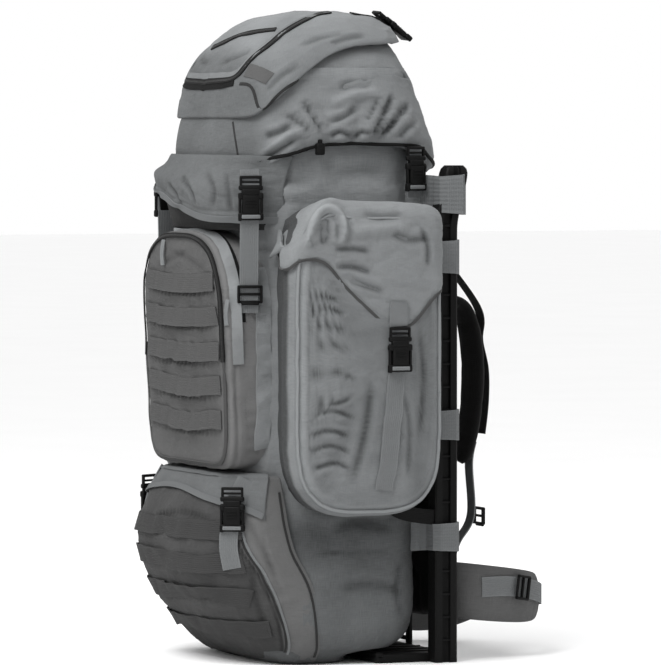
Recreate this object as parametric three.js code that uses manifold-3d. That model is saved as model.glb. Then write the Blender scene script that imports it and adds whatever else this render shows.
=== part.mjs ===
// A large rucksack on an external moulded frame: a tall main bag under a domed lid, a webbed front
// pocket, a bulging bottom pocket, a long pouch on each side, and a harness with a padded hip belt.
// Millimetres. X runs across the back, -Y is the outer face, +Y the wearer's side, +Z up.
// The origin is on the floor, on the main bag's flat base.
import * as THREE from 'three';
import { mergeVertices } from 'three/addons/utils/BufferGeometryUtils.js';
import Module from 'manifold-3d';

const wasm = await Module();
wasm.setup();

// Cloth, webbing and clearances
const clothWall = 2;
const webbingWidth = 25;
const webbingThickness = 1.8;
const beltWebbingWidth = 38;
const fit = 0.4;
const zipWidth = 9;
const zipThickness = 1.6;

// Main bag
const bagWidth = 350;
const bagDepth = 240;
const shoulderHeight = 640;
const bagMouthRise = 0.76;

// Lid: the gathered hood, the pocket on top of it and the visor-like flap in front
const lidWidth = 330;
const lidDepth = 302;
const lidShift = 5;
const lidTop = 880;
const lidPocketDepth = 20;
const hoodTop = lidTop - lidPocketDepth;
const lidPocketRise = 5;
const lidLap = 30;
const lidFoot = shoulderHeight - lidLap;
const hemRise = 50;
const hemHeight = shoulderHeight + hemRise;
const hemDrop = 24;
const gatherDepth = 3;
const gatherCount = 8;
const topZipLength = 230;
const topZipSetback = 60;
const rearStrapInset = 52.5;
const crownStrapX = 50;
const visorWidth = 322;
const visorReach = 180;
const visorTop = 677;
const visorHeight = 92;

// Front pocket with an arched top
const frontPocketWidth = 306;
const frontPocketBottom = 262;
const frontPocketTop = 580;
const frontPocketReach = 168;
const frontPocketLean = 0.045;
const archRise = 132;
const frontPocketRounding = 10;
const frontZipInset = 13;

// Bottom pocket and its flap
const bottomPocketWidth = 332;
const bottomPocketReach = 200;
const bottomPocketTop = 252;
const bottomFlapMiddle = 236;
const bottomFlapCorner = 198;
const flapEdgePower = 0.8;

// Rows of ladder webbing
const ladderPitch = 46;
const ladderBacking = 1.2;
const ladderRow = 1.6;
const frontLadderTop = 526;
const frontLadderRows = 5;
const frontLadderInset = 24;
const bottomLadderTop = 196;
const bottomLadderRows = 4;
const bottomLadderWidth = 236;

// Side pouches and their pointed flaps
const pouchReach = 82;
const pouchRounding = 22;
const pouchLength = 216;
const pouchBottom = 204;
const pouchMiddle = 330;
const pouchTop = 622;
const pouchMouth = 588;
const pouchFlapPoint = 452;
const pouchStrapY = 38;
const pouchStrapBottom = 233;
const pouchBuckleDrop = 26;
const foldWidth = 9;
const foldRise = 5;

// Frame
const frameWidth = 350;
const frameHeight = 669;
const frameGap = 4;
const stileWidth = 28;
const stileDepth = 32;
const crossbarHeight = 26;
const crossbarDepth = 14;
const crossbarRises = [0.3363, 0.5531, 0.7175, 0.8744];
const frameTopLean = 16;
const leanStartRise = 0.867;
const frameTipTaper = 12;
const shelfHeight = 14;
const shelfFront = 46;
const spineWidth = 84;
const spineThickness = 6;

// Fabric tabs that lash the bag to the frame, as shares of the frame's height
const tabs = [
  { name: 'top', bottom: 0.903, height: 0.078 },
  { name: 'upper', bottom: 0.783, height: 0.066 },
  { name: 'middle', bottom: 0.448, height: 0.06 },
  { name: 'lower', bottom: 0.224, height: 0.057 },
];
const tabThickness = 2.4;

// Harness
const shoulderPadWidth = 66;
const shoulderPadThickness = 15;
const shoulderSpacing = 170;
const shoulderSpread = 20;
const shoulderTop = 482;
const shoulderDrop = 220;
const shoulderReach = 41;
const lifterTailBottom = 300;
const lifterTailSwing = 10;
const lowerLockHeight = 191;
const yokeWidth = 236;
const yokeBottom = 410;
const yokeTop = 545;
const yokeThickness = 14;
const lumbarWidth = 236;
const lumbarBottom = 52;
const lumbarTop = 222;
const lumbarThickness = 24;
const hipHalfWidth = 158;
const hipReach = 160;
const hipPadThickness = 14;
const hipPadHeight = 76;
const beltHeight = 76;

// Side-release buckles and ladder locks
const buckleWidth = 34;
const buckleLength = 60;
const buckleThickness = 9;
const lockLength = 24;
const lockThickness = 6;
const beltBuckleWidth = 48;
const beltBuckleLength = 76;

const clothGrey = new THREE.MeshStandardMaterial({ color: 0x6f7375, roughness: 0.9, metalness: 0 });
const clothDark = new THREE.MeshStandardMaterial({ color: 0x4a4c4e, roughness: 0.92, metalness: 0 });
const webbingGrey = new THREE.MeshStandardMaterial({ color: 0x66696b, roughness: 0.85, metalness: 0 });
const padBlack = new THREE.MeshStandardMaterial({ color: 0x161616, roughness: 0.95, metalness: 0 });
const plasticBlack = new THREE.MeshStandardMaterial({ color: 0x1a1b1d, roughness: 0.45, metalness: 0 });

const pack = new THREE.Group();
const turn = 2 * Math.PI;
const ringPoints = 24;
const angles = (count) => Array.from({ length: count }, (_, i) => (i * turn) / count);
const blend = (a, b, t) => a + (b - a) * t;
const clamp01 = (t) => Math.min(1, Math.max(0, t));
const vector = (x, y, z) => new THREE.Vector3(x, y, z);
const acrossX = vector(1, 0, 0);
const acrossY = vector(0, 1, 0);
const upward = vector(0, 0, 1);

// Solids

function middleOf(ring) {
  return ring.reduce((sum, p) => sum.add(p), vector(0, 0, 0)).divideScalar(ring.length);
}

// A closed solid through rings of points, each end closed by a fan to its middle
function solidFromRings(rings) {
  const count = rings[0].length;
  const points = rings.flat();
  const faces = [];
  for (let r = 0; r + 1 < rings.length; r++) {
    for (let i = 0; i < count; i++) {
      const a = r * count + i;
      const b = r * count + ((i + 1) % count);
      faces.push([a, b, b + count], [a, b + count, a + count]);
    }
  }
  for (const [row, flip] of [[0, true], [rings.length - 1, false]]) {
    const middle = points.length;
    points.push(middleOf(rings[row]));
    for (let i = 0; i < count; i++) {
      const a = row * count + i;
      const b = row * count + ((i + 1) % count);
      faces.push(flip ? [b, a, middle] : [a, b, middle]);
    }
  }
  const geometry = new THREE.BufferGeometry();
  geometry.setAttribute('position', new THREE.Float32BufferAttribute(points.flatMap((p) => p.toArray()), 3));
  geometry.setIndex(faces.flat());
  return solidOf(geometry);
}

function solidOf(geometry) {
  const bare = geometry.clone();
  bare.deleteAttribute('normal');
  bare.deleteAttribute('uv');
  const merged = mergeVertices(bare, 1e-4);
  const vertProperties = new Float32Array(merged.attributes.position.array);
  const triVerts = new Uint32Array(merged.index.array);
  const build = () => new wasm.Manifold(new wasm.Mesh({ numProp: 3, vertProperties, triVerts }));
  const solid = build();
  if (solid.volume() > 0) return solid;
  for (let i = 0; i < triVerts.length; i += 3) {
    [triVerts[i + 1], triVerts[i + 2]] = [triVerts[i + 2], triVerts[i + 1]];
  }
  return build();
}

function boxBetween(low, high, matrix) {
  const size = high.map((v, i) => v - low[i]);
  const box = new THREE.BoxGeometry(...size);
  box.translate(...low.map((v, i) => v + size[i] / 2));
  if (matrix) box.applyMatrix4(matrix);
  return solidOf(box);
}

// Moves every point of a stack of rings outwards by amount, along the surface's own normal
function grownRings(rings, amount) {
  if (amount === 0) return rings;
  const last = rings.length - 1;
  const count = rings[0].length;
  return rings.map((ring, r) => ring.map((point, i) => {
    const around = ring[(i + 1) % count].clone().sub(ring[(i + count - 1) % count]);
    const above = r < last ? rings[r + 1][i] : middleOf(ring);
    const below = r > 0 ? rings[r - 1][i] : middleOf(ring);
    const normal = around.cross(above.clone().sub(below)).normalize();
    return point.clone().addScaledVector(normal, amount);
  }));
}

// The outline of a rounded box at one angle, as shares of its half sizes: squarer as power grows
function roundedBoxShares(angle, power) {
  const c = Math.cos(angle);
  const s = Math.sin(angle);
  const reach = (Math.abs(c) ** power + Math.abs(s) ** power) ** (-1 / power);
  return [c * reach, s * reach];
}

// How far out the same outline is in X at one y, as a share of its half width
const outlineShare = (y, halfDepth, power) => (1 - Math.abs(y / halfDepth) ** power) ** (1 / power);

// A section carried along a path; across is the direction that the section's width keeps
function swept(path, across, sectionAt) {
  const last = path.length - 1;
  return solidFromRings(path.map((point, i) => {
    const along = path[Math.min(i + 1, last)].clone().sub(path[Math.max(i - 1, 0)]);
    const out = across.clone().cross(along).normalize();
    return sectionAt(i / last).map(([a, b]) => point.clone().addScaledVector(across, a).addScaledVector(out, b));
  }));
}

const flatCorners = [[1, 1], [-1, 1], [-1, -1], [1, -1]];
const softCorners = [[1, 0.3], [0.86, 1], [-0.86, 1], [-1, 0.3], [-1, -0.3], [-0.86, -1], [0.86, -1], [1, -0.3]];
const foldCorners = [[1, 0.4], [0, 1], [-0.5, 1], [-0.5, -1], [0, -1], [1, -0.4]];
const scaled = (corners, width, thickness) => corners.map(([a, b]) => [(a * width) / 2, (b * thickness) / 2]);

function webbingAlong(path, across, width = webbingWidth) {
  return swept(path, across, () => scaled(flatCorners, width, webbingThickness));
}

const smoothPath = (points, count) => new THREE.CatmullRomCurve3(points).getPoints(count);

// A solid's surface, mirrored across the middle plane where side is -1
function surfaceOf(solid, side = 1) {
  const mesh = solid.getMesh();
  const positions = Array.from(mesh.vertProperties, (v, i) => (i % 3 === 0 ? side * v : v));
  const indices = Array.from(mesh.triVerts);
  const geometry = new THREE.BufferGeometry();
  geometry.setAttribute('position', new THREE.Float32BufferAttribute(positions, 3));
  geometry.setIndex(side > 0 ? indices : indices.reverse());
  return geometry;
}

// How far a solid reaches in a direction
function reachOf(solid, direction) {
  const points = solid.getMesh().vertProperties;
  let reach = -Infinity;
  for (let i = 0; i < points.length; i += 3) {
    reach = Math.max(reach, vector(points[i], points[i + 1], points[i + 2]).dot(direction));
  }
  return reach;
}

const onBothSides = (solid) => solid.add(solidOf(surfaceOf(solid, -1)));

function addPart(name, solid, material, side = 1) {
  // Keeps the largest body of a cut piece, without the slivers that a cut can leave
  const body = solid.decompose().reduce((best, next) => (next.volume() > best.volume() ? next : best));
  const geometry = surfaceOf(body, side);
  geometry.computeVertexNormals();
  const part = new THREE.Mesh(geometry, material);
  part.name = name;
  pack.add(part);
}

// The same piece on the right (+X) and mirrored on the left
function addPair(name, solid, material) {
  addPart(`${name}_right`, solid, material);
  addPart(`${name}_left`, solid, material, -1);
}

// Main bag: heights are shares of its shoulder's height, widths, depths and shifts of its half sizes
const bagSections = [
  { rise: 0, width: 0.8, depth: 0.46, shift: -0.25, power: 3.4 },
  { rise: 0.0235, width: 0.9, depth: 0.6, shift: -0.28, power: 3.6 },
  { rise: 0.035, width: 0.94, depth: 0.89, shift: -0.02, power: 3.8 },
  { rise: 0.08, width: 0.985, depth: 0.985, shift: 0, power: 4.2 },
  { rise: 0.17, width: 1, depth: 1, shift: 0, power: 4.6 },
  { rise: 0.67, width: 1, depth: 1, shift: 0, power: 4.6 },
  { rise: 1, width: 0.94, depth: 1, shift: 0, power: 4 },
];

function bagForm(grow) {
  const body = bagSections.map((row) => angles(ringPoints).map((angle) => {
    const [x, y] = roundedBoxShares(angle, row.power);
    const across = (x * row.width * bagWidth) / 2;
    return vector(across, ((y * row.depth + row.shift) * bagDepth) / 2, row.rise * shoulderHeight);
  }));
  return solidFromRings(grownRings([...body, ...neckRings()], grow));
}

// Above its shoulder the bag's collar stands inside the hood, up to its own open mouth
function neckRings() {
  const inset = clothWall + gatherDepth + 3 * fit;
  const rows = lidSections.map((row) => ({ ...row, height: blend(lidFoot, hoodTop, row.rise) }));
  return rows
    .filter((row) => row.height > shoulderHeight && row.share > 0.7)
    .map((row) => lidRing({ ...row, waves: 0 }, ringPoints, inset));
}

function mainBagPart() {
  const mouthHeight = blend(lidFoot, hoodTop, bagMouthRise);
  const mouth = boxBetween([-bagWidth, -bagDepth, mouthHeight], [bagWidth, bagDepth, 2 * lidTop]);
  addPart('main_bag', bagForm(0).subtract(bagForm(-clothWall)).subtract(mouth), clothGrey);
}

// Lid: rise is a share of its height, share a share of its half sizes, waves the gathers' strength
const lidPower = 3.8;
const lidSections = [
  { rise: 0, share: 1, shift: 0, waves: 1 },
  { rise: 0.23, share: 1, shift: 0, waves: 1 },
  { rise: 0.4, share: 0.985, shift: 0, waves: 0.7 },
  { rise: 0.6, share: 0.9, shift: 0, waves: 0.3 },
  { rise: 0.77, share: 0.78, shift: 0.02, waves: 0 },
  { rise: 0.9, share: 0.62, shift: 0.06, waves: 0 },
  { rise: 0.97, share: 0.46, shift: 0.1, waves: 0 },
  { rise: 1, share: 0.26, shift: 0.13, waves: 0 },
];

function lidRing(row, count, inset) {
  return angles(count).map((angle) => {
    const [x, y] = roundedBoxShares(angle, lidPower);
    const sides = clamp01(2 * (Math.sin(angle) + 0.8));
    const wave = 1 + (gatherDepth * row.waves * sides * Math.cos(gatherCount * angle)) / (lidWidth / 2);
    return vector(
      x * wave * ((row.share * lidWidth) / 2 - inset),
      y * wave * ((row.share * lidDepth) / 2 - inset) + lidShift + (row.shift * lidDepth) / 2,
      row.height,
    );
  });
}

function lidForm(grow, top = hoodTop, count = 4 * gatherCount) {
  const rings = lidSections.map((row) => lidRing({ ...row, height: blend(lidFoot, top, row.rise) }, count, 0));
  return solidFromRings(grownRings(rings, grow));
}

const lidPocketForm = (grow) => lidForm(lidPocketRise + grow, lidTop - lidPocketRise, ringPoints);

// Below the hem, which the elastic draws up in the middle of each side
function belowHem() {
  const hemAt = (angle) => hemHeight - hemDrop * Math.sin(angle) ** 2;
  const ring = (share, heightAt) => angles(ringPoints).map((angle) => vector(
    Math.cos(angle) * lidWidth * share,
    Math.sin(angle) * lidDepth * share,
    heightAt(angle),
  ));
  const outside = 0.9;
  const inside = 0.3;
  return solidFromRings([ring(outside, () => lidFoot - 2 * clothWall), ring(outside, hemAt), ring(inside, hemAt)]);
}

// The lid pocket's lower edge slopes up to the back; its zips run above it. Rises are shares of the
// height from the hem to the top
const pocketSlant = { front: 0.25, back: 0.74 };
const zipRises = { edge: 0.2, top: 0.3 };
const lidHeight = lidTop - hemHeight;

// Everything above the slanted plane that the lid pocket's lower edge follows
function aboveSlant(rise) {
  const slantAt = (y) => hemHeight + lidHeight * blend(pocketSlant.front, pocketSlant.back, 0.5 + y / lidDepth);
  const corners = [[-1, -1], [1, -1], [1, 1], [-1, 1]].map(([x, y]) => [x * lidWidth, y * lidDepth]);
  const low = corners.map(([x, y]) => vector(x, y, slantAt(y) + rise));
  return solidFromRings([low, low.map((p) => vector(p.x, p.y, 2 * lidTop))]);
}

function lidParts() {
  addPart('lid_hood', lidForm(0).subtract(lidForm(-clothWall)).subtract(belowHem()), clothGrey);

  const hollow = lidPocketForm(-clothWall).intersect(aboveSlant(clothWall));
  const pocket = lidPocketForm(0).intersect(aboveSlant(0));
  addPart('lid_pocket', pocket.subtract(hollow).subtract(lidForm(fit)), clothGrey);

  const tape = lidPocketForm(fit + zipThickness).subtract(lidPocketForm(fit));
  const sideReach = boxBetween([-lidWidth, -lidDepth, 0], [lidWidth, topZipSetback, 2 * lidTop]);
  const edgeRise = zipRises.edge * lidHeight;
  const edgeZip = tape.intersect(sideReach)
    .intersect(aboveSlant(edgeRise)).subtract(aboveSlant(edgeRise + zipWidth));
  addPart('lid_edge_zip', edgeZip, plasticBlack);

  const topZip = tape.intersect(aboveSlant(zipRises.top * lidHeight)).intersect(boxBetween(
    [-topZipLength / 2, -topZipSetback - zipWidth / 2, 0],
    [topZipLength / 2, -topZipSetback + zipWidth / 2, 2 * lidTop],
  ));
  addPart('lid_top_zip', topZip, plasticBlack);
}

// Visor: the lid's front flap flares out over the front pocket and turns in again at its free edge
const visorSections = [
  { drop: 1, reach: 0.93, width: 0.97 },
  { drop: 0.6, reach: 1, width: 1 },
  { drop: 0.25, reach: 0.94, width: 0.995 },
  { drop: 0, reach: 0.84, width: 0.985 },
];

function visorForm(grow) {
  return solidFromRings(grownRings(visorSections.map((row) => angles(ringPoints).map((angle) => {
    const [x, y] = roundedBoxShares(angle, lidPower);
    return vector((x * row.width * visorWidth) / 2, y * row.reach * visorReach, visorTop - row.drop * visorHeight);
  })), grow));
}

// The room that the bag and both pouches take up, with the gap that its neighbours keep
const bagAndPouches = () => bagForm(fit).add(onBothSides(pouchForm(2 * fit + clothWall)));
const frontOnly = (low, high) => boxBetween([-bagWidth, -2 * bagDepth, low], [bagWidth, -bagDepth / 4, high]);

function visorPart() {
  const opening = visorTop - visorHeight + clothWall;
  const visor = visorForm(0).subtract(visorForm(-clothWall)).intersect(frontOnly(opening, visorTop - clothWall));
  addPart('lid_visor', visor.subtract(lidForm(fit)).subtract(bagAndPouches()), clothGrey);
}

// Front pocket: rings stand upright and step forward to the face, in shares of its edge's rounding
const frontPocketSteps = [
  { behind: 9, inset: 0 },
  { behind: 1, inset: 0 },
  { behind: 0.3, inset: 0.3 },
  { behind: 0, inset: 1 },
];
const frontPocketMiddle = frontPocketTop - archRise;
const archPower = 3;
const footPower = 9;

function frontPocketRing(reach, inset) {
  return angles(ringPoints).map((angle) => {
    const upper = Math.sin(angle) >= 0;
    const [x, z] = roundedBoxShares(angle, upper ? archPower : footPower);
    const half = upper ? archRise : frontPocketMiddle - frontPocketBottom;
    const height = frontPocketMiddle + z * (half - inset);
    const lean = frontPocketLean * (height - frontPocketMiddle);
    return vector(x * (frontPocketWidth / 2 - inset), -reach - lean, height);
  });
}

function frontPocketForm(grow) {
  return solidFromRings(frontPocketSteps.map(({ behind, inset }) => frontPocketRing(
    frontPocketReach - behind * frontPocketRounding + grow,
    inset * frontPocketRounding - grow,
  )));
}

function frontPocketParts() {
  const throughBack = solidFromRings([
    frontPocketRing(frontPocketReach - clothWall - 10 * frontPocketRounding, clothWall),
    frontPocketRing(frontPocketReach - clothWall - 2 * frontPocketRounding, clothWall),
  ]);
  const shell = frontPocketForm(0).subtract(frontPocketForm(-clothWall)).subtract(throughBack);
  addPart('front_pocket', shell.subtract(bagAndPouches()), clothDark);

  const tapeInset = -fit - zipThickness;
  const tape = solidFromRings([
    frontPocketRing(frontPocketReach - frontZipInset - zipWidth, tapeInset),
    frontPocketRing(frontPocketReach - frontZipInset, tapeInset),
  ]);
  const zip = tape.subtract(frontPocketForm(fit)).intersect(frontOnly(frontPocketBottom + ladderPitch, lidTop));
  addPart('front_pocket_zip', zip, plasticBlack);

  const faceReach = frontPocketReach + fit;
  let ladder = solidFromRings([
    frontPocketRing(faceReach, frontLadderInset),
    frontPocketRing(faceReach + ladderBacking, frontLadderInset),
  ]);
  const leaned = new THREE.Matrix4().makeShear(0, 0, 0, 0, 0, -frontPocketLean);
  leaned.setPosition(0, frontPocketLean * frontPocketMiddle, 0);
  for (let row = 0; row < frontLadderRows; row++) {
    const top = frontLadderTop - row * ladderPitch;
    const arch = outlineShare(Math.max(0, top - frontPocketMiddle), archRise - frontLadderInset, archPower);
    const half = arch * (frontPocketWidth / 2 - frontLadderInset) - fit;
    ladder = ladder.add(boxBetween(
      [-half, -faceReach - ladderBacking - ladderRow, top - webbingWidth],
      [half, -faceReach - ladderBacking / 2, top],
      leaned,
    ));
  }
  addPart('front_ladder_panel', ladder, webbingGrey);
}

// Bottom pocket: shares of its height, of its half width and of how far its belly stands out
const bottomSections = [
  { rise: 0, width: 0.77, reach: 0.42 },
  { rise: 0.05, width: 0.88, reach: 0.55 },
  { rise: 0.16, width: 0.96, reach: 0.7 },
  { rise: 0.365, width: 1, reach: 0.88 },
  { rise: 0.635, width: 1, reach: 1 },
  { rise: 0.85, width: 1, reach: 0.95 },
  { rise: 1, width: 0.98, reach: 0.82 },
];

function bottomForm(grow) {
  return solidFromRings(grownRings(bottomSections.map((row) => angles(ringPoints).map((angle) => {
    const [x, y] = roundedBoxShares(angle, lidPower);
    const across = (x * row.width * bottomPocketWidth) / 2;
    return vector(across, y * row.reach * bottomPocketReach, row.rise * bottomPocketTop);
  })), grow));
}

const bottomSkin = (inner, outer) => bottomForm(outer).subtract(bottomForm(inner));

function bottomPocketParts() {
  const pocket = bottomSkin(-clothWall, 0).intersect(frontOnly(-fit, bottomPocketTop + fit));
  addPart('bottom_pocket', pocket.subtract(bagAndPouches()), clothDark);

  // The flap's free edge is highest in its middle
  const edge = angles(ringPoints).slice(0, ringPoints / 2 + 1).map((angle) => [
    Math.cos(angle),
    blend(bottomFlapCorner, bottomFlapMiddle, Math.sin(angle) ** flapEdgePower),
  ]);
  const above = bottomPocketTop + bottomFlapMiddle;
  const outline = [...edge, [-1, above], [1, above]];
  const prism = solidFromRings([-2 * bagDepth, -bagDepth / 4].map((y) => (
    outline.map(([x, z]) => vector((x * bagWidth) / 2, y, z))
  )));
  addPart('bottom_flap', bottomSkin(fit, fit + clothWall).intersect(prism).subtract(bagAndPouches()), clothGrey);

  const half = bottomLadderWidth / 2;
  const strip = (low, high) => boxBetween([-half, -2 * bagDepth, low], [half, -bagDepth / 2, high]);
  const lowest = bottomLadderTop - (bottomLadderRows - 1) * ladderPitch - webbingWidth;
  let ladder = bottomSkin(fit, fit + ladderBacking).intersect(strip(lowest, bottomLadderTop));
  const rowSkin = bottomSkin(fit + ladderBacking / 2, fit + ladderBacking + ladderRow);
  for (let row = 0; row < bottomLadderRows; row++) {
    const top = bottomLadderTop - row * ladderPitch;
    ladder = ladder.add(rowSkin.intersect(strip(top - webbingWidth, top)));
  }
  addPart('bottom_ladder_panel', ladder, webbingGrey);
}

// Side pouches: rings stand upright and step out from the bag's side to the face, as shares of the
// pouch's reach and of its edge's rounding
const pouchSteps = [
  { reach: -0.4, inset: 0 },
  { reach: 0.7, inset: 0 },
  { reach: 0.92, inset: 0.32 },
  { reach: 1, inset: 1 },
];
const pouchTopPower = 6;
const pouchFootPower = 3.2;
const pouchFaceX = bagWidth / 2 + pouchReach;

function pouchForm(grow) {
  return solidFromRings(grownRings(pouchSteps.map((step) => angles(ringPoints).map((angle) => {
    const upper = Math.sin(angle) >= 0;
    const [y, z] = roundedBoxShares(angle, upper ? pouchTopPower : pouchFootPower);
    const half = upper ? pouchTop - pouchMiddle : pouchMiddle - pouchBottom;
    const inset = step.inset * pouchRounding;
    return vector(
      bagWidth / 2 + step.reach * pouchReach,
      y * (pouchLength / 2 - inset),
      pouchMiddle + z * (half - inset),
    );
  })), grow));
}

// The flap's free edge, from its front corner to its point and up to its back corner: y as a share
// of the pouch's half length, drop as a share of the flap's whole drop
const flapEdge = [
  { y: -1.2, drop: 0.42 },
  { y: -0.9, drop: 0.47 },
  { y: -0.35, drop: 0.7 },
  { y: 0.2, drop: 1 },
  { y: 0.52, drop: 1 },
  { y: 0.86, drop: 0.76 },
  { y: 1.2, drop: 0.66 },
];

// A pinched fold over the flap's front top corner
const cornerFold = [
  { y: -0.78, drop: 0.4 },
  { y: -0.74, drop: 0.17 },
  { y: -0.6, drop: 0.08 },
  { y: -0.44, drop: 0.14 },
  { y: -0.36, drop: 0.34 },
  { y: -0.12, drop: 0.48 },
];

function pouchParts() {
  const aboveMouth = boxBetween([0, -bagDepth, pouchMouth], [2 * bagWidth, bagDepth, 2 * lidTop]);
  const shell = pouchForm(0).subtract(pouchForm(-clothWall)).subtract(aboveMouth).subtract(bagForm(fit));
  addPair('side_pouch', shell, clothGrey);

  const flapPoint = (row) => [(row.y * pouchLength) / 2, blend(pouchTop, pouchFlapPoint, row.drop)];
  const outline = [...flapEdge, { y: 1.2, drop: -0.2 }, { y: -1.2, drop: -0.2 }].map(flapPoint);
  const prism = solidFromRings([0, 2 * bagWidth].map((x) => outline.map(([y, z]) => vector(x, y, z))));
  const cover = pouchForm(fit + clothWall).subtract(pouchForm(fit)).intersect(prism);
  const faceX = pouchFaceX + fit + clothWall / 2;
  const foldPath = cornerFold.map(flapPoint).map(([y, z]) => vector(faceX, y, z));
  const fold = swept(foldPath, acrossX, (t) => {
    const swell = Math.sin(Math.PI * blend(0.12, 0.88, t));
    return scaled(foldCorners, 2 * foldRise * swell, foldWidth * swell);
  });
  addPair('side_pouch_flap', cover.add(fold.subtract(pouchForm(fit))).subtract(bagForm(fit)), clothGrey);

  const low = pouchFaceX + fit + webbingThickness / 2;
  const high = low + clothWall + fit;
  const strapPath = [
    [high, pouchFlapPoint + webbingWidth],
    [high, pouchFlapPoint - fit],
    [low, pouchFlapPoint - 2 * webbingWidth],
    [low, pouchStrapBottom],
  ];
  addPair('pouch_strap', webbingAlong(strapPath.map(([x, z]) => vector(x, pouchStrapY, z)), acrossY), webbingGrey);
  const seat = vector(high + webbingThickness / 2 + fit, pouchStrapY, pouchFlapPoint - pouchBuckleDrop);
  addPair('pouch_buckle', buckleAt(seat, acrossX), plasticBlack);
}

// Half of a side-release buckle's outline, as shares of its half width and half length
const buckleOutline = [
  [0.62, -1], [1, -0.86], [1, -0.1], [0.8, 0.02], [0.98, 0.2], [0.78, 0.5], [0.7, 1],
];

// A flat plate with slots across it, its back's middle at a point, turned to face one way
function slottedPlate(outline, slots, size, point, face, along) {
  const [width, length, thickness] = size;
  const spot = ([x, y]) => new THREE.Vector2((x * width) / 2, (y * length) / 2);
  const right = outline.map(spot);
  const shape = new THREE.Shape([...right, ...right.map((p) => new THREE.Vector2(-p.x, p.y)).reverse()]);
  for (const { middle, height } of slots) {
    const corners = [[0.55, -height], [-0.55, -height], [-0.55, height], [0.55, height]];
    shape.holes.push(new THREE.Path(corners.map(([x, y]) => spot([x, y + middle]))));
  }
  const plate = new THREE.ExtrudeGeometry(shape, { depth: thickness, bevelEnabled: false });
  const basis = new THREE.Matrix4().makeBasis(along.clone().cross(face), along, face);
  return solidOf(plate.applyMatrix4(basis.setPosition(point)));
}

function buckleAt(point, face, along = upward, size = [buckleWidth, buckleLength, buckleThickness]) {
  const slots = [{ middle: 0.8, height: 0.06 }];
  return slottedPlate(buckleOutline, slots, size, point, face, along);
}

function lockAt(point, face) {
  const slots = [{ middle: -0.42, height: 0.2 }, { middle: 0.42, height: 0.2 }];
  return slottedPlate([[1, -0.9], [1, 0.9]], slots, [buckleWidth, lockLength, lockThickness], point, face, upward);
}

// Front lid straps run from the hood's corners, past the visor, down to the front pocket's sides
function frontLidStraps() {
  const y = -frontPocketReach + frontZipInset + zipWidth + webbingWidth / 2 + 2 * fit;
  const inner = y + webbingWidth / 2;
  const off = fit + webbingThickness / 2;
  const lidX = (outlineShare(inner - lidShift, lidDepth / 2, lidPower) * lidWidth) / 2 + off;
  const visorX = (outlineShare(inner, visorReach, lidPower) * visorWidth) / 2 + off;
  const sideX = frontPocketWidth / 2 + off;
  const widest = Math.max(visorX + fit, sideX);
  const path = [
    [lidX - webbingWidth / 2, visorTop + 2 * webbingWidth],
    [lidX + fit, visorTop + webbingWidth / 2],
    [visorX, visorTop - 0.3 * visorHeight],
    [widest, visorTop - 0.6 * visorHeight],
    [widest, visorTop - visorHeight - webbingWidth],
    [sideX, frontPocketMiddle + webbingWidth],
  ];
  const forms = visorForm(fit).add(lidForm(fit)).add(frontPocketForm(fit)).add(bagForm(fit));
  const strap = webbingAlong(path.map(([x, z]) => vector(x, y, z)), acrossY).subtract(forms);
  addPair('front_lid_strap', strap, webbingGrey);
  const buckleSeat = vector(widest + off, y, visorTop - 0.55 * visorHeight);
  addPair('front_lid_buckle', buckleAt(buckleSeat, acrossX), plasticBlack);
  const lockSeat = vector(sideX + off, y, frontPocketMiddle + 2 * webbingWidth);
  addPair('front_strap_lock', lockAt(lockSeat, acrossX), plasticBlack);
}

// Rear lid straps hold the hood's back corners down beside the frame
const rearStrapY = lidShift + lidDepth / 2 - rearStrapInset;
const rearBuckleLevel = hemHeight - webbingWidth;

function rearLidStraps() {
  const y = rearStrapY;
  const lane = boxBetween(
    [0, y - webbingWidth / 2, pouchTop + 2 * clothWall + 2 * fit],
    [bagWidth, y + webbingWidth / 2, hemHeight + 2 * webbingWidth],
  );
  const lid = onBothSides(lidForm(fit));
  const strap = lidForm(fit + webbingThickness).intersect(lane).subtract(lid).subtract(bagForm(fit));
  addPair('rear_lid_strap', strap, webbingGrey);
  const seat = vector(reachOf(strap, acrossX) + fit, y, rearBuckleLevel);
  addPair('rear_lid_buckle', buckleAt(seat, acrossX), plasticBlack);
}

// The crown strap crosses the lid's back slope, beside its middle
function crownStrap() {
  const skin = lidPocketForm(fit + webbingThickness).subtract(lidPocketForm(fit));
  const lane = boxBetween(
    [crownStrapX - webbingWidth / 2, topZipSetback, hemHeight + lidHeight * pocketSlant.back],
    [crownStrapX + webbingWidth / 2, lidDepth, 2 * lidTop],
  );
  addPart('crown_strap', skin.intersect(lane), webbingGrey);
}

// Bottom flap straps lie over the bottom pocket's corners
function bottomFlapStraps() {
  const base = 2 * fit + clothWall;
  const corner = Math.atan2(-bottomPocketReach, bottomPocketWidth / 2);
  const face = vector(bottomPocketReach, -bottomPocketWidth / 2, 0).normalize();
  const lane = boxBetween(
    [0, -webbingWidth / 2, bottomFlapCorner - 3 * webbingWidth],
    [2 * bagWidth, webbingWidth / 2, bottomPocketTop - 2 * fit],
    new THREE.Matrix4().makeRotationZ(corner),
  );
  const strap = bottomSkin(base, base + webbingThickness).intersect(lane);
  addPair('bottom_flap_strap', strap, webbingGrey);
  const behindBuckle = strap.intersect(boxBetween(
    [0, -2 * bagDepth, bottomFlapCorner - buckleLength / 2],
    [bagWidth, 0, bottomFlapCorner + buckleLength / 2],
  ));
  const ray = vector(Math.cos(corner), Math.sin(corner), 0);
  const seat = ray.multiplyScalar((reachOf(behindBuckle, face) + fit) / ray.dot(face));
  seat.z = bottomFlapCorner;
  addPair('bottom_flap_buckle', buckleAt(seat, face), plasticBlack);
}

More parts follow.
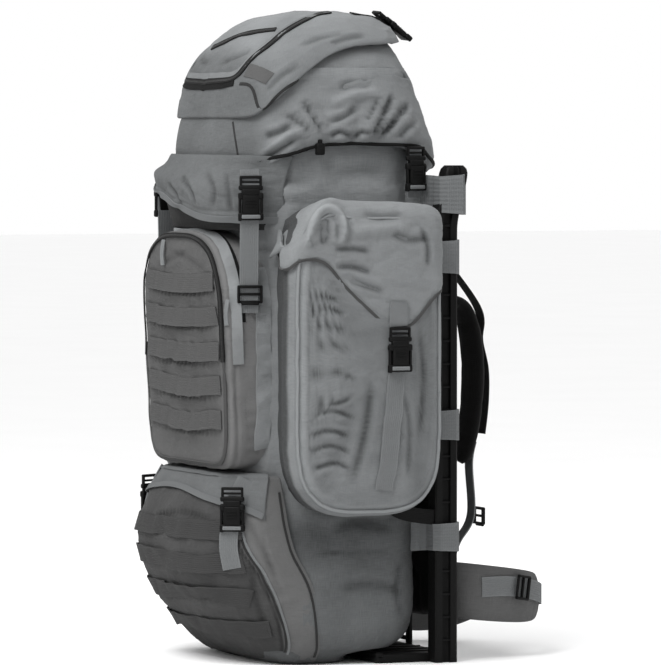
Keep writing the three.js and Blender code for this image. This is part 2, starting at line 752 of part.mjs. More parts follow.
// Frame: two stiles that lean back at their tops, crossbars, a flat spine and a foot shelf
const frameFront = bagDepth / 2 + frameGap;
const frameBack = frameFront + stileDepth;
const crossbarLevels = crossbarRises.map((rise) => rise * frameHeight);
const leanStart = leanStartRise * frameHeight;
const leanAt = (z) => frameTopLean * clamp01((z - leanStart) / (frameHeight - leanStart));
const stileLevels = [[0, 1], [leanStart, 1], [frameHeight - frameTipTaper, 1], [frameHeight, 0.7]];

// Half of a stile's section is a rounded bar; the other half has a groove between two ribs
const stileCorners = [
  [1, -0.8], [1, -0.34], [0.6, -0.26], [0.6, 0.26], [1, 0.34], [1, 0.8],
  [0.8, 1], [-0.8, 1], [-1, 0.8], [-1, -0.8], [-0.8, -1], [0.8, -1],
];

function stileRing(z, share, corners, grow) {
  return corners.map(([a, b]) => vector(
    frameWidth / 2 + a * ((share * stileWidth) / 2 + grow),
    frameFront + stileDepth / 2 + leanAt(z) + b * ((share * stileDepth) / 2 + grow),
    z,
  ));
}

function framePart() {
  let frame = onBothSides(solidFromRings(stileLevels.map(([z, share]) => stileRing(z, share, stileCorners, 0))));

  const reach = frameWidth / 2;
  for (const level of crossbarLevels) {
    const back = frameBack + leanAt(level);
    const low = [-reach, back - crossbarDepth, level - crossbarHeight / 2];
    frame = frame.add(boxBetween(low, [reach, back, level + crossbarHeight / 2]));
  }
  const shelfHalf = reach - stileWidth / 4;
  frame = frame.add(boxBetween([-shelfHalf, shelfFront, 0], [shelfHalf, frameBack, shelfHeight]));

  const spineTop = crossbarLevels[crossbarLevels.length - 1];
  const spineBack = frameBack - crossbarDepth / 2 + spineThickness / 2;
  const spineLow = [-spineWidth / 2, spineBack - spineThickness, shelfHeight / 2];
  addPart('frame', frame.add(boxBetween(spineLow, [spineWidth / 2, spineBack, spineTop])), plasticBlack);
}

// Each lashing tab is a sleeve round a stile with a tongue that reaches in to the bag
function frameTabs() {
  const buckleHalf = [buckleWidth / 2 + fit, buckleLength / 2 + fit];
  const rearBuckleRoom = boxBetween(
    [-bagWidth, rearStrapY - buckleHalf[0], rearBuckleLevel - buckleHalf[1]],
    [bagWidth, rearStrapY + buckleHalf[0], rearBuckleLevel + buckleHalf[1]],
  );
  const keepOff = bagAndPouches().add(lidForm(2 * fit + webbingThickness)).add(rearBuckleRoom);
  for (const tab of tabs) {
    const levels = [tab.bottom * frameHeight, (tab.bottom + tab.height) * frameHeight];
    const sleeve = (grow, longer) => solidFromRings([levels[0] - longer, levels[1] + longer].map((z) => (
      stileRing(z, 1, flatCorners, grow)
    )));
    const side = (frameWidth - stileWidth) / 2 - fit;
    const tongue = boxBetween([side - tabThickness, bagDepth / 3, levels[0]], [side, frameBack - fit, levels[1]]);
    const body = sleeve(fit + tabThickness, 0).subtract(sleeve(fit, fit)).add(tongue).subtract(keepOff);
    addPair(`frame_tab_${tab.name}`, body, webbingGrey);
  }
}

// Harness
const harnessFront = frameBack + fit;
const harnessBack = harnessFront + yokeThickness;
const lumbarBack = harnessFront + lumbarThickness;

function backPad(name, width, low, high, thickness) {
  const rows = [[0, 0.82], [0.14, 1], [0.8, 1], [1, 0.72]];
  const rings = rows.map(([rise, share]) => scaled(softCorners, width * share, thickness).map(([x, y]) => (
    vector(x, harnessFront + thickness / 2 + y, blend(low, high, rise))
  )));
  addPart(name, solidFromRings(rings), padBlack);
}

// A shoulder strap leaves the yoke, bends over and hangs: out is a share of its reach from the
// yoke, down a share of its drop
const shoulderLine = [
  { out: 0, down: 0.19 },
  { out: 0.05, down: 0.055 },
  { out: 0.36, down: 0 },
  { out: 0.72, down: 0.055 },
  { out: 0.95, down: 0.21 },
  { out: 1, down: 0.44 },
  { out: 0.86, down: 0.69 },
  { out: 0.77, down: 0.9 },
  { out: 0.68, down: 1 },
];

function shoulderPoint(row, off = 0) {
  const y = harnessBack + fit + shoulderPadThickness / 2 + row.out * shoulderReach + off;
  return vector(shoulderSpacing / 2 + row.down * shoulderSpread, y, shoulderTop - row.down * shoulderDrop);
}

function shoulderStraps() {
  const path = smoothPath(shoulderLine.map((row) => shoulderPoint(row)), 9);
  const pad = swept(path, acrossX, (t) => {
    const width = shoulderPadWidth * blend(0.62, 1, Math.sin(Math.PI * blend(0.12, 0.9, t)));
    return scaled(softCorners, width, shoulderPadThickness);
  });
  addPair('shoulder_pad', pad, padBlack);

  const off = shoulderPadThickness / 2 + fit + webbingThickness / 2;
  const belly = shoulderPoint({ out: 1, down: 0.24 }, off);
  const tailDrop = belly.z - lifterTailBottom;
  const anchorLevel = crossbarLevels[crossbarLevels.length - 1];
  const anchorY = frameBack + leanAt(anchorLevel) + fit + webbingThickness / 2;
  const lifter = [
    vector(belly.x, anchorY, anchorLevel + crossbarHeight / 3),
    vector(belly.x, anchorY, anchorLevel - crossbarHeight / 3),
    vector(belly.x, belly.y - 1, shoulderPoint({ out: 1, down: 0.04 }).z),
    belly,
    vector(belly.x, belly.y + lifterTailSwing, belly.z - tailDrop * 0.35),
    vector(belly.x, belly.y + lifterTailSwing, belly.z - tailDrop * 0.7),
    vector(belly.x, belly.y + lifterTailSwing / 2, lifterTailBottom),
  ];
  addPair('load_lifter', webbingAlong(lifter, acrossX), webbingGrey);

  const end = shoulderPoint({ out: 0.68, down: 1 }, off + 1);
  const lowerStrap = [
    shoulderPoint({ out: 0.84, down: 0.86 }, off + 1),
    end,
    vector(end.x, end.y + 3, lowerLockHeight),
    vector(end.x, lumbarBack + off, lowerLockHeight - 1.4 * webbingWidth),
    vector(end.x, lumbarBack + fit + webbingThickness / 2, lowerLockHeight - 2.4 * webbingWidth),
    vector(end.x, lumbarBack + fit + webbingThickness / 2, lowerLockHeight - 3.2 * webbingWidth),
  ];
  addPair('lower_strap', webbingAlong(lowerStrap, acrossX), webbingGrey);
  const lockSeat = vector(end.x, end.y + 3 + webbingThickness / 2 + fit, lowerLockHeight);
  addPair('lower_strap_lock', lockAt(lockSeat, acrossY), plasticBlack);
}

// Hip belt: x is a share of its half width, y of its reach from the frame to its buckle; lift raises
// its root and sag lowers its middle by shares of the pad's height, the left wing hanging lower
const hipLine = [
  { x: 0.93, y: 0.04 },
  { x: 1.02, y: 0.2 },
  { x: 1, y: 0.45 },
  { x: 0.88, y: 0.7 },
  { x: 0.66, y: 0.88 },
  { x: 0.42, y: 0.97 },
];
const wings = [
  { name: 'right', side: 1, lift: 0.25, sag: 0 },
  { name: 'left', side: -1, lift: 0.18, sag: 0.45 },
];
const hipMiddleY = harnessFront + hipPadThickness / 2 + fit;

function hipPoint(row, wing, off) {
  const slope = Math.atan2(row.y, row.x / 2);
  return vector(
    row.x * hipHalfWidth + off * Math.cos(slope),
    hipMiddleY + row.y * hipReach + off * Math.sin(slope),
    beltHeight + hipPadHeight * (wing.lift * (1 - row.y) - wing.sag * Math.sin(Math.PI * row.y)),
  );
}

function hipBelt() {
  for (const wing of wings) {
    const root = vector(lumbarWidth / 2 + 4 * fit, hipMiddleY, beltHeight + wing.lift * hipPadHeight);
    const path = smoothPath([root, ...hipLine.map((row) => hipPoint(row, wing, 0))], 8);
    const pad = swept(path, upward, (t) => (
      scaled(softCorners, hipPadHeight * blend(1, 0.72, t ** 3), hipPadThickness)
    ));
    addPart(`hip_pad_${wing.name}`, pad, padBlack, wing.side);

    const off = hipPadThickness / 2 + 2 * fit + webbingThickness / 2;
    const end = vector(beltBuckleLength / 2 + fit, hipMiddleY + hipReach + off, beltHeight);
    const line = smoothPath([...hipLine.slice(1).map((row) => hipPoint(row, wing, off)), end], 8);
    const webbing = webbingAlong(line, upward, beltWebbingWidth).subtract(swept(path, upward, (t) => (
      scaled(softCorners, hipPadHeight * blend(1, 0.72, t ** 3), hipPadThickness + 2 * fit)
    )));
    addPart(`belt_webbing_${wing.name}`, webbing, webbingGrey, wing.side);
  }
  const seat = vector(0, hipMiddleY + hipReach + hipPadThickness / 2, beltHeight);
  const size = [beltBuckleWidth, beltBuckleLength, buckleThickness + 2];
  addPart('belt_buckle', buckleAt(seat, acrossY, acrossX, size), plasticBlack);
}

mainBagPart();
lidParts();
visorPart();
frontPocketParts();
bottomPocketParts();
pouchParts();
frontLidStraps();
rearLidStraps();
crownStrap();
bottomFlapStraps();
framePart();
frameTabs();
backPad('yoke_pad', yokeWidth, yokeBottom, yokeTop, yokeThickness);
backPad('lumbar_pad', lumbarWidth, lumbarBottom, lumbarTop, lumbarThickness);
shoulderStraps();
hipBelt();

export default pack;
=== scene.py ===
import math

import bpy
from mathutils import Matrix, Vector, noise
from mathutils.bvhtree import BVHTree
from mathutils.kdtree import KDTree


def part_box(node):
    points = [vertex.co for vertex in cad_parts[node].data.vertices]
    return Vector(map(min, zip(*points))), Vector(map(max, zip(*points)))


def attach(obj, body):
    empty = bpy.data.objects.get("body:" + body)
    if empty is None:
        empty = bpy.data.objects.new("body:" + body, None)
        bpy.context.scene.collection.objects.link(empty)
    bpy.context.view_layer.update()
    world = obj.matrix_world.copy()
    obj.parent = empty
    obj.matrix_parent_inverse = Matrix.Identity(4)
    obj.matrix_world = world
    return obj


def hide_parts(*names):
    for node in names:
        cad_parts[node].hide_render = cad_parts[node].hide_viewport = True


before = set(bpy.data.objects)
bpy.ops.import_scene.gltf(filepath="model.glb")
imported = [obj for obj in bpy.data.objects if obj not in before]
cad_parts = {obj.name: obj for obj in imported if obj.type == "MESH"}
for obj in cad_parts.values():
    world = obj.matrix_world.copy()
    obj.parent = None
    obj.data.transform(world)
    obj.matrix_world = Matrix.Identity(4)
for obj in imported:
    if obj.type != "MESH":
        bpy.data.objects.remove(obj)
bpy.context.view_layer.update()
mm = 0.001
turn = 2 * math.pi

# camera first: a long lens, a little above level, from the pack's near side and front
view = {"azimuth": 68, "elevation": 2, "distance": 8, "target": (0.0166, 0.0411, 0.4402), "width": 0.9023}
picture = {"width": 661, "height": 665}  # the photograph, in pixels
azimuth, elevation = math.radians(view["azimuth"]), math.radians(view["elevation"])
levelShare = math.cos(elevation)
away = Vector((math.sin(azimuth) * levelShare, -math.cos(azimuth) * levelShare, math.sin(elevation)))
bpy.ops.object.camera_add(location=Vector(view["target"]) + away * view["distance"])
camera = bpy.context.object
camera.rotation_euler = away.to_track_quat("Z", "Y").to_euler()
camera.data.sensor_fit = "HORIZONTAL"
camera.data.lens = camera.data.sensor_width * view["distance"] / view["width"]
camera.data.clip_end = 60
bpy.context.scene.camera = camera
print("camera set")


# shader maths: a socket that adds Math nodes when it is used in a sum
class Wire:
    def __init__(self, tree, socket):
        self.tree = tree
        self.socket = socket

    def maths(self, operation, other=None, swapped=False):
        node = self.tree.nodes.new("ShaderNodeMath")
        node.operation = operation
        first, second = (other, self) if swapped else (self, other)
        plug(self.tree, node.inputs[0], first)
        plug(self.tree, node.inputs[1], second)
        return Wire(self.tree, node.outputs[0])

    def __add__(self, other):
        return self.maths("ADD", other)

    def __sub__(self, other):
        return self.maths("SUBTRACT", other)

    def __rsub__(self, other):
        return self.maths("SUBTRACT", other, True)

    def __mul__(self, other):
        return self.maths("MULTIPLY", other)

    __radd__ = __add__
    __rmul__ = __mul__


def plug(tree, socket, value):
    if isinstance(value, Wire):
        tree.links.new(value.socket, socket)
    elif value is not None:
        socket.default_value = value


class Finish:
    def __init__(self, name):
        self.material = bpy.data.materials.new(name)
        self.material.use_nodes = True
        self.tree = self.material.node_tree
        self.shader = self.tree.nodes["Principled BSDF"]

    def node(self, kind, settings=None, inputs=None, out=0):
        node = self.tree.nodes.new(kind)
        for key, value in (settings or {}).items():
            setattr(node, key, value)
        for key, value in (inputs or {}).items():
            plug(self.tree, node.inputs[key], value)
        return Wire(self.tree, node.outputs[out])

    def axes(self, vector):
        node = self.tree.nodes.new("ShaderNodeSeparateXYZ")
        plug(self.tree, node.inputs[0], vector)
        return [Wire(self.tree, socket) for socket in node.outputs]

    def grain(self, vector, scale, detail=2, stretch=(1, 1, 1)):
        placed = self.node("ShaderNodeMapping", None, {"Vector": vector, "Scale": stretch})
        return self.node("ShaderNodeTexNoise", None, {"Vector": placed, "Scale": scale, "Detail": detail})

    def mix(self, factor, first, second, blendType="MIX"):
        settings = {"data_type": "RGBA", "blend_type": blendType}
        return self.node("ShaderNodeMix", settings, {0: factor, 6: first, 7: second}, 2)

    def bump(self, height, distance, strength=1, below=None):
        return self.node("ShaderNodeBump", None, {"Strength": strength, "Distance": distance,
                                                  "Height": height, "Normal": below})

    def set(self, **inputs):
        for key, value in inputs.items():
            plug(self.tree, self.shader.inputs[key.replace("_", " ")], value)
        return self.material


def tone(value, tint=(1, 1, 1)):
    return tuple(value * part for part in tint) + (1,)


# woven pack cloth: threads over and under, flecked yarn, soft crumples, and a per-point tone that holds wear
# and the cloth's own colour together with painted light on tops and painted shade in folds, fronts and low
# places
clothLook = {"threadPitch": 0.0013, "crumple": 0.0034, "fleck": 0.22, "patches": 0.28, "wear_and_painted_light": 0.46,
             "darkest": 0.26, "palest": 1.74, "weaveDepth": 0.00022}


def clothFinish(name, value, tint):
    finish = Finish(name)
    uv = finish.node("ShaderNodeTexCoord", out=2)
    place = finish.node("ShaderNodeTexCoord", out=3)
    across, along, _ = finish.axes(uv)
    step = turn / clothLook["threadPitch"]
    weave = (across * step).maths("SINE") * (along * step).maths("SINE")
    warp = finish.grain(uv, 60, 2, (22, 1, 1))
    weft = finish.grain(uv, 60, 2, (1, 22, 1))
    fleck = warp + weft - 1
    patches = finish.grain(place, 14, 4)
    # per-point tone from each piece: wear and own colour, with painted light and painted shade mixed in
    paintedLightAndWear = finish.node("ShaderNodeAttribute", {"attribute_name": "wear_and_painted_light"}, out=2)
    shade = fleck * clothLook["fleck"] + (patches - 0.5) * clothLook["patches"] + paintedLightAndWear * clothLook["wear_and_painted_light"]
    shade = (shade + 0.5).maths("MAXIMUM", 0).maths("MINIMUM", 1)
    colour = finish.mix(shade, tone(value * clothLook["darkest"], tint),
                        tone(value * clothLook["palest"], tint))
    crumple = finish.grain(place, 26, 6) + finish.grain(place, 70, 3, (1, 1, 2.5)) * 0.5
    bump = finish.bump(crumple, clothLook["crumple"], 0.8)
    bump = finish.bump(weave + fleck * 0.8, clothLook["weaveDepth"], 0.7, bump)
    finish.shader.inputs["Sheen Weight"].default_value = 0.03
    finish.shader.inputs["Sheen Roughness"].default_value = 0.5
    finish.shader.inputs["Specular IOR Level"].default_value = 0.12
    return finish.set(Base_Color=colour, Roughness=0.86 + patches * 0.1, Normal=bump)


# ribbed nylon webbing: across is 0 to 1 over the width, along is in metres
webbingLook = {"ribPitch": 0.0016, "cords": 9, "depth": 0.00035}


def webbingFinish(name, value, tint):
    finish = Finish(name)
    uv = finish.node("ShaderNodeTexCoord", out=2)
    along, across, _ = finish.axes(uv)
    ribs = (along * (turn / webbingLook["ribPitch"])).maths("SINE")
    cords = (across * (turn * webbingLook["cords"])).maths("SINE")
    edge = ((across - 0.5).maths("ABSOLUTE") * 2).maths("POWER", 8)
    fleck = finish.grain(uv, 30, 2, (30, 8, 1))
    colour = finish.mix((fleck * 0.7 + edge * 0.25 + ribs * 0.08).maths("MINIMUM", 1),
                        tone(value * 0.7, tint), tone(value * 1.3, tint))
    bump = finish.bump(ribs * 0.5 + cords * 0.6 + fleck, webbingLook["depth"], 0.8)
    finish.shader.inputs["Specular IOR Level"].default_value = 0.12
    return finish.set(Base_Color=colour, Roughness=0.72 + fleck * 0.15, Normal=bump)


def plasticFinish(name, value, roughness, grainScale):
    finish = Finish(name)
    place = finish.node("ShaderNodeTexCoord", out=3)
    grain = finish.grain(place, grainScale, 3)
    scuffs = finish.grain(place, 90, 4, (1, 1, 6))
    worn = (scuffs - 0.62).maths("MAXIMUM", 0) * 2.4
    colour = finish.mix(worn, tone(value), tone(value * 3.2 + 0.006))
    finish.shader.inputs["Specular IOR Level"].default_value = 0.11
    return finish.set(Base_Color=colour, Roughness=roughness + grain * 0.18 + worn * 0.3,
                      Normal=finish.bump(grain + scuffs * 0.4, 0.00025, 0.5))


# black spacer mesh: a net of small holes over foam
meshLook = {"cellScale": 380, "holeDepth": 0.0006, "unevenness": 0.0016}


def meshFinish(name, value):
    finish = Finish(name)
    uv = finish.node("ShaderNodeTexCoord", out=2)
    cells = finish.node("ShaderNodeTexVoronoi", None, {"Vector": uv, "Scale": meshLook["cellScale"],
                                                       "Randomness": 0.25})
    place = finish.node("ShaderNodeTexCoord", out=3)
    patches = finish.grain(place, 30, 3)
    hole = (0.55 - cells).maths("MAXIMUM", 0)
    colour = finish.mix((hole * 1.2 + patches * 0.25).maths("MINIMUM", 1), tone(value * 2.2),
                        tone(value * 0.5))
    finish.shader.inputs["Sheen Weight"].default_value = 0.04
    finish.shader.inputs["Specular IOR Level"].default_value = 0.06
    bump = finish.bump(patches, meshLook["unevenness"], 0.7)
    net = finish.bump(1 - hole, meshLook["holeDepth"], 0.9, bump)
    return finish.set(Base_Color=colour, Roughness=0.93, Normal=net)


# zip: coil teeth down the middle of the tape
zipLook = {"toothPitch": 0.002, "coilShare": 0.2, "depth": 0.0005}


def zipFinish(name):
    finish = Finish(name)
    uv = finish.node("ShaderNodeTexCoord", out=2)
    along, across, _ = finish.axes(uv)
    middle = ((across - 0.5).maths("ABSOLUTE")).maths("LESS_THAN", zipLook["coilShare"])
    teeth = (along * (turn / zipLook["toothPitch"])).maths("SINE") * middle
    colour = finish.mix(middle, tone(0.008), tone(0.016))
    finish.shader.inputs["Specular IOR Level"].default_value = 0.15
    roughness = 0.75 - middle * 0.3
    coil = finish.bump(teeth + middle, zipLook["depth"], 0.8)
    return finish.set(Base_Color=colour, Roughness=roughness, Normal=coil)


greyTint = (0.96, 1, 1.02)
darkTint = (1, 1, 1)
cloth = clothFinish("grey_pack_cloth", 0.165, greyTint)
clothDark = clothFinish("dark_pack_cloth", 0.085, darkTint)
# near-black cloth painted as shade: the shadowed underside of the visor and the shadow lines along seams
shadeCloth = clothFinish("near_black_shade_cloth", 0.028, darkTint)
binding = webbingFinish("binding_tape", 0.15, greyTint)
bindingPale = webbingFinish("pale_piping", 0.22, greyTint)
# paler cloth for the corner and front bands: partly the bands' own lighter colour, partly painted light on
# faces the lamps leave dark
clothPale = clothFinish("pale_band_cloth", 0.23, greyTint)
webbing = webbingFinish("grey_webbing", 0.15, greyTint)
webbingDark = webbingFinish("ladder_webbing", 0.075, darkTint)
# a darker copy of the ladder webbing for the low rows: painted shade
webbingShaded = webbingFinish("shaded_ladder_webbing", 0.045, darkTint)
webbingBlack = webbingFinish("black_webbing", 0.008, darkTint)
plastic = plasticFinish("black_buckle_plastic", 0.003, 0.45, 500)
framePlastic = plasticFinish("black_frame_plastic", 0.004, 0.5, 260)
padMesh = meshFinish("black_spacer_mesh", 0.005)
zipTape = zipFinish("black_zip")
print("finishes made")


# shared modelling steps
def blend(a, b, t):
    return a + (b - a) * t


def clamp(t, low=0.0, high=1.0):
    return min(high, max(low, t))


def smooth(t):
    t = clamp(t)
    return t * t * (3 - 2 * t)


def hump(t, middle, width):  # 1 at the middle, fading to 0 at the width
    return smooth(1 - abs(t - middle) / width)


def trace(rows, t):  # a smooth line through rows of numbers, by their first number
    t = clamp(t, rows[0][0], rows[-1][0])
    i = next(k for k in range(len(rows) - 1) if t <= rows[k + 1][0])
    a, b = rows[i], rows[i + 1]
    before, after = rows[max(i - 1, 0)], rows[min(i + 2, len(rows) - 1)]
    span = b[0] - a[0]
    s = (t - a[0]) / span
    out = []
    for k in range(1, len(a)):
        slopeA = (b[k] - before[k]) / (b[0] - before[0])
        slopeB = (after[k] - a[k]) / (after[0] - a[0])
        out.append((2 * s**3 - 3 * s**2 + 1) * a[k] + (s**3 - 2 * s**2 + s) * span * slopeA
                   + (3 * s**2 - 2 * s**3) * b[k] + (s**3 - s**2) * span * slopeB)
    return out if len(out) > 1 else out[0]


def boxShares(angle, power):  # the outline of a rounded box, as shares of its half sizes
    c, s = math.cos(angle), math.sin(angle)
    reach = (abs(c) ** power + abs(s) ** power) ** (-1 / power)
    return c * reach, s * reach


def cornerAngle(t):  # turns of an evenly walked square, so that corners get as many points as sides
    t = (t % 1) * 4
    side, s = int(t), t - int(t)
    return (side + s + 0.11 * math.sin(2 * math.pi * s)) * math.pi / 2


def creases(p, size, seed, sharp=1.0):  # soft folds, longer where size is larger, in millimetres
    n = noise.noise(Vector((p[0] / size[0] + seed, p[1] / size[1] - seed, p[2] / size[2] + 2 * seed)))
    return (1 - abs(n) * 2) ** 3 * sharp + n * (1 - sharp)


def crumpled(p, seed, amount):
    coarse = creases(p, (70, 70, 38), seed, 0.5)
    fine = creases(p, (27, 27, 17), seed + 7, 0.5)
    return amount * (0.75 * coarse + 0.45 * fine)


def deselect():
    bpy.ops.object.select_all(action="DESELECT")


def inEdit(piece, *steps):
    deselect()
    piece.select_set(True)
    bpy.context.view_layer.objects.active = piece
    bpy.ops.object.mode_set(mode="EDIT")
    bpy.ops.mesh.select_all(action="SELECT")
    for step in steps:
        step()
    bpy.ops.object.mode_set(mode="OBJECT")


def evenNormals(piece):
    inEdit(piece, lambda: bpy.ops.mesh.normals_make_consistent(inside=False))


def applied(piece, kind, **settings):
    deselect()
    piece.select_set(True)
    bpy.context.view_layer.objects.active = piece
    modifier = piece.modifiers.new(kind.lower(), kind)
    for key, value in settings.items():
        setattr(modifier, key, value)
    bpy.ops.object.modifier_apply(modifier=modifier.name)
    return piece


def finished(piece, name, material, replaced=(), smoothAngle=None):
    piece.name = name
    piece.data.materials.clear()
    piece.data.materials.append(material)
    deselect()
    piece.select_set(True)
    bpy.context.view_layer.objects.active = piece
    if smoothAngle:
        bpy.ops.object.shade_smooth_by_angle(angle=math.radians(smoothAngle))
    else:
        bpy.ops.object.shade_smooth()
    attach(piece, "root")
    if replaced:
        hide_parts(*replaced)
    return piece


# A grid of cols by rows that is laid over place(u, v), then pushed out along its normals by swell.
def skin(cols, rows, place, swell=None, size=(1, 1), thickness=0, wear_and_painted_light=None):
    deselect()
    bpy.ops.mesh.primitive_grid_add(x_subdivisions=cols, y_subdivisions=rows, size=1)
    piece = bpy.context.object
    mesh = piece.data
    shares = [(vert.co.x + 0.5, vert.co.y + 0.5) for vert in mesh.vertices]
    for vert, (u, v) in zip(mesh.vertices, shares):
        vert.co = Vector(place(u, v)) * mm
    for loop in mesh.uv_layers.active.data:
        loop.uv = (loop.uv[0] * size[0] * mm, loop.uv[1] * size[1] * (mm if size[1] > 1 else 1))
    mark = mesh.attributes.new("share", "FLOAT2", "POINT")
    for i, (u, v) in enumerate(shares):
        mark.data[i].vector = (u, v)
    inEdit(piece, lambda: bpy.ops.mesh.remove_doubles(threshold=0.00002))
    mesh = piece.data
    marks = [tuple(item.vector) for item in mesh.attributes["share"].data]
    if swell:
        facing = [vert.normal.copy() for vert in mesh.vertices]
        moves = [facing[vert.index] * swell(vert.co / mm, *marks[vert.index]) * mm
                 for vert in mesh.vertices]
        for vert, move in zip(mesh.vertices, moves):
            vert.co += move
    # per-point tone: wear and own colour, and painted light and shade where a piece's function puts them
    if wear_and_painted_light:
        fade = mesh.attributes.new("wear_and_painted_light", "FLOAT", "POINT")
        for vert in mesh.vertices:
            fade.data[vert.index].value = wear_and_painted_light(vert.co / mm, *marks[vert.index])
    mesh.attributes.remove(mesh.attributes["share"])
    if thickness:
        applied(piece, "SOLIDIFY", thickness=thickness * mm, offset=-1)
    return piece


def outwards(piece, centre):  # turns the faces to look away from a point
    mesh = piece.data
    facing = sum((face.center - Vector(centre) * mm).dot(face.normal) * face.area for face in mesh.polygons)
    if facing < 0:
        inEdit(piece, bpy.ops.mesh.flip_normals)
    return piece


def surfaceTree(piece):
    mesh = piece.data
    return BVHTree.FromPolygons([v.co.copy() for v in mesh.vertices],
                                [tuple(p.vertices) for p in mesh.polygons])


def seen(tree, across, down):  # the point of a piece that shows at a place of the picture, in its pixels
    right = Vector((math.cos(azimuth), math.sin(azimuth), 0))
    pixel = view["width"] / picture["width"]
    sideways = (across - picture["width"] / 2) * pixel
    upwards = (picture["height"] / 2 - down) * pixel
    spot = Vector(view["target"]) + right * sideways + away.cross(right) * upwards
    start = camera.location
    hit, _, _, _ = tree.ray_cast(start, (spot - start).normalized())
    return hit / mm if hit else None


def seenLine(tree, line):
    dense, _ = resampled([(a, d, 0) for a, d in line], max(3, len(line) * 6))
    found = [seen(tree, p.x, p.y) for p in dense]
    return [p for p in found if p]


def mirrorPoints(points):
    return [Vector((-p.x, p.y, p.z)) for p in points]


def overMiddle(points):  # a line and its mirror image as one line
    return mirrorPoints(points)[::-1] + points


# Folds pressed into a piece along lines of the picture: depth and width in millimetres, a ridge beside each.
# Each groove is painted darker in the tone as painted shade, and a raised fold paler as painted light; shade
# sets how much.
foldShape = {"reach": 4, "ends": 0.22, "ridgeAt": 2.1, "ridge": 0.45, "deepest": -9, "highest": 7}


def carve(piece, lines, both=False, shade=0.5):
    tree = surfaceTree(piece)
    mesh = piece.data
    fade = mesh.attributes.get("wear_and_painted_light") or mesh.attributes.new("wear_and_painted_light", "FLOAT", "POINT")
    tones = [item.value for item in fade.data]
    moves = [0.0] * len(mesh.vertices)
    spots = [vert.co / mm for vert in mesh.vertices]
    for depth, width, line in lines:
        points = seenLine(tree, line)
        for run in ([points, mirrorPoints(points)] if both else [points]):
            if len(run) < 2:
                continue
            reach = width * foldShape["reach"]
            low = [min(p[k] for p in run) - reach for k in range(3)]
            high = [max(p[k] for p in run) + reach for k in range(3)]
            near = KDTree(len(run))
            for i, p in enumerate(run):
                near.insert(p, i)
            near.balance()
            for k, spot in enumerate(spots):
                if not all(low[axis] < spot[axis] < high[axis] for axis in range(3)):
                    continue
                _, i, gap = near.find(spot)
                if gap < reach:
                    end = smooth(min(i, len(run) - 1 - i) / (foldShape["ends"] * len(run)) + 0.15)
                    groove = math.exp(-(gap / width) ** 2)
                    ridge = math.exp(-((gap - foldShape["ridgeAt"] * width) / width) ** 2)
                    moves[k] += depth * end * (foldShape["ridge"] * ridge - groove)
                    # painted shade in the groove, painted light on a raised fold
                    tones[k] -= shade * end * groove * (1 if depth > 0 else -0.6) * min(1, abs(depth) / 3)
    facing = [vert.normal.copy() for vert in mesh.vertices]
    for vert, move, normal in zip(mesh.vertices, moves, facing):
        if move:
            vert.co += normal * clamp(move, foldShape["deepest"], foldShape["highest"]) * mm
    for item, value in zip(fade.data, tones):
        item.value = value
    return piece


def thicken(piece, thickness=2):
    return applied(piece, "SOLIDIFY", thickness=thickness * mm, offset=-1)


def resampled(points, count):
    points = [Vector(p) for p in points]
    curve = []
    for i in range(len(points) - 1):
        a, b, c, d = points[max(i - 1, 0)], points[i], points[i + 1], points[min(i + 2, len(points) - 1)]
        for k in range(12):
            t = k / 12
            curve.append(0.5 * (2 * b + (c - a) * t + (2 * a - 5 * b + 4 * c - d) * t * t
                                + (3 * b - a - 3 * c + d) * t**3))
    curve.append(points[-1])
    reach = [0.0]
    for a, b in zip(curve, curve[1:]):
        reach.append(reach[-1] + (b - a).length)
    out, k = [], 0
    for i in range(count + 1):
        want = reach[-1] * i / count
        while k < len(curve) - 2 and reach[k + 1] < want:
            k += 1
        span = max(reach[k + 1] - reach[k], 1e-9)
        out.append(curve[k].lerp(curve[k + 1], clamp((want - reach[k]) / span)))
    return out, reach[-1]


def walked(points, step, least):  # a path of even steps along a line of points, and its length
    reach = sum((Vector(b) - Vector(a)).length for a, b in zip(points, points[1:]))
    return resampled(points, max(least, int(reach / step)))


def eased(path):  # inner points drawn towards their neighbours, ends kept
    inner = [(path[i - 1] + path[i] * 2 + path[i + 1]) / 4 for i in range(1, len(path) - 1)]
    return [path[0]] + inner + [path[-1]]


def alongAt(path, i):
    return (path[min(i + 1, len(path) - 1)] - path[max(i - 1, 0)]).normalized()


# A flat strap along a path. Its face looks along facing, or away from the surface that it is laid on.
def strap(name, points, width, thickness, facing=(1, 0, 0), on=None, lift=0.0, material=None,
          replaced=(), step=6, ripple=None, cells=4, make=True):
    path, length = walked(points, step, 4)
    normals = []
    for i, p in enumerate(path):
        normal = Vector(facing).normalized()
        if on:
            spot, found, _, _ = on.find_nearest(p * mm)
            path[i], normal = spot / mm, found
        normals.append(normal)
    if on:
        for _ in range(3):
            padded = [normals[0]] + normals + [normals[-1]]
            normals = [(a + b * 2 + c).normalized() for a, b, c in zip(padded, padded[1:], padded[2:])]
            path = eased(path)
    frames = []
    for i, p in enumerate(path):
        along = alongAt(path, i)
        side = along.cross(normals[i]).normalized()
        frames.append((p, side, side.cross(along).normalized()))

    def place(u, v):
        i = min(int(round(u * (len(path) - 1))), len(path) - 1)
        p, side, up = frames[i]
        half = width / 2
        rise = lift + thickness / 2 + (ripple(u, v) if ripple else 0)
        return p + side * (v * 2 - 1) * half + up * rise

    piece = skin(len(path) - 1, cells, place, size=(length, 1))
    applied(piece, "SOLIDIFY", thickness=thickness * mm, offset=0, use_even_offset=False)
    evenNormals(piece)
    if not make:
        return piece
    return finished(piece, name, material or webbing, replaced, 40)


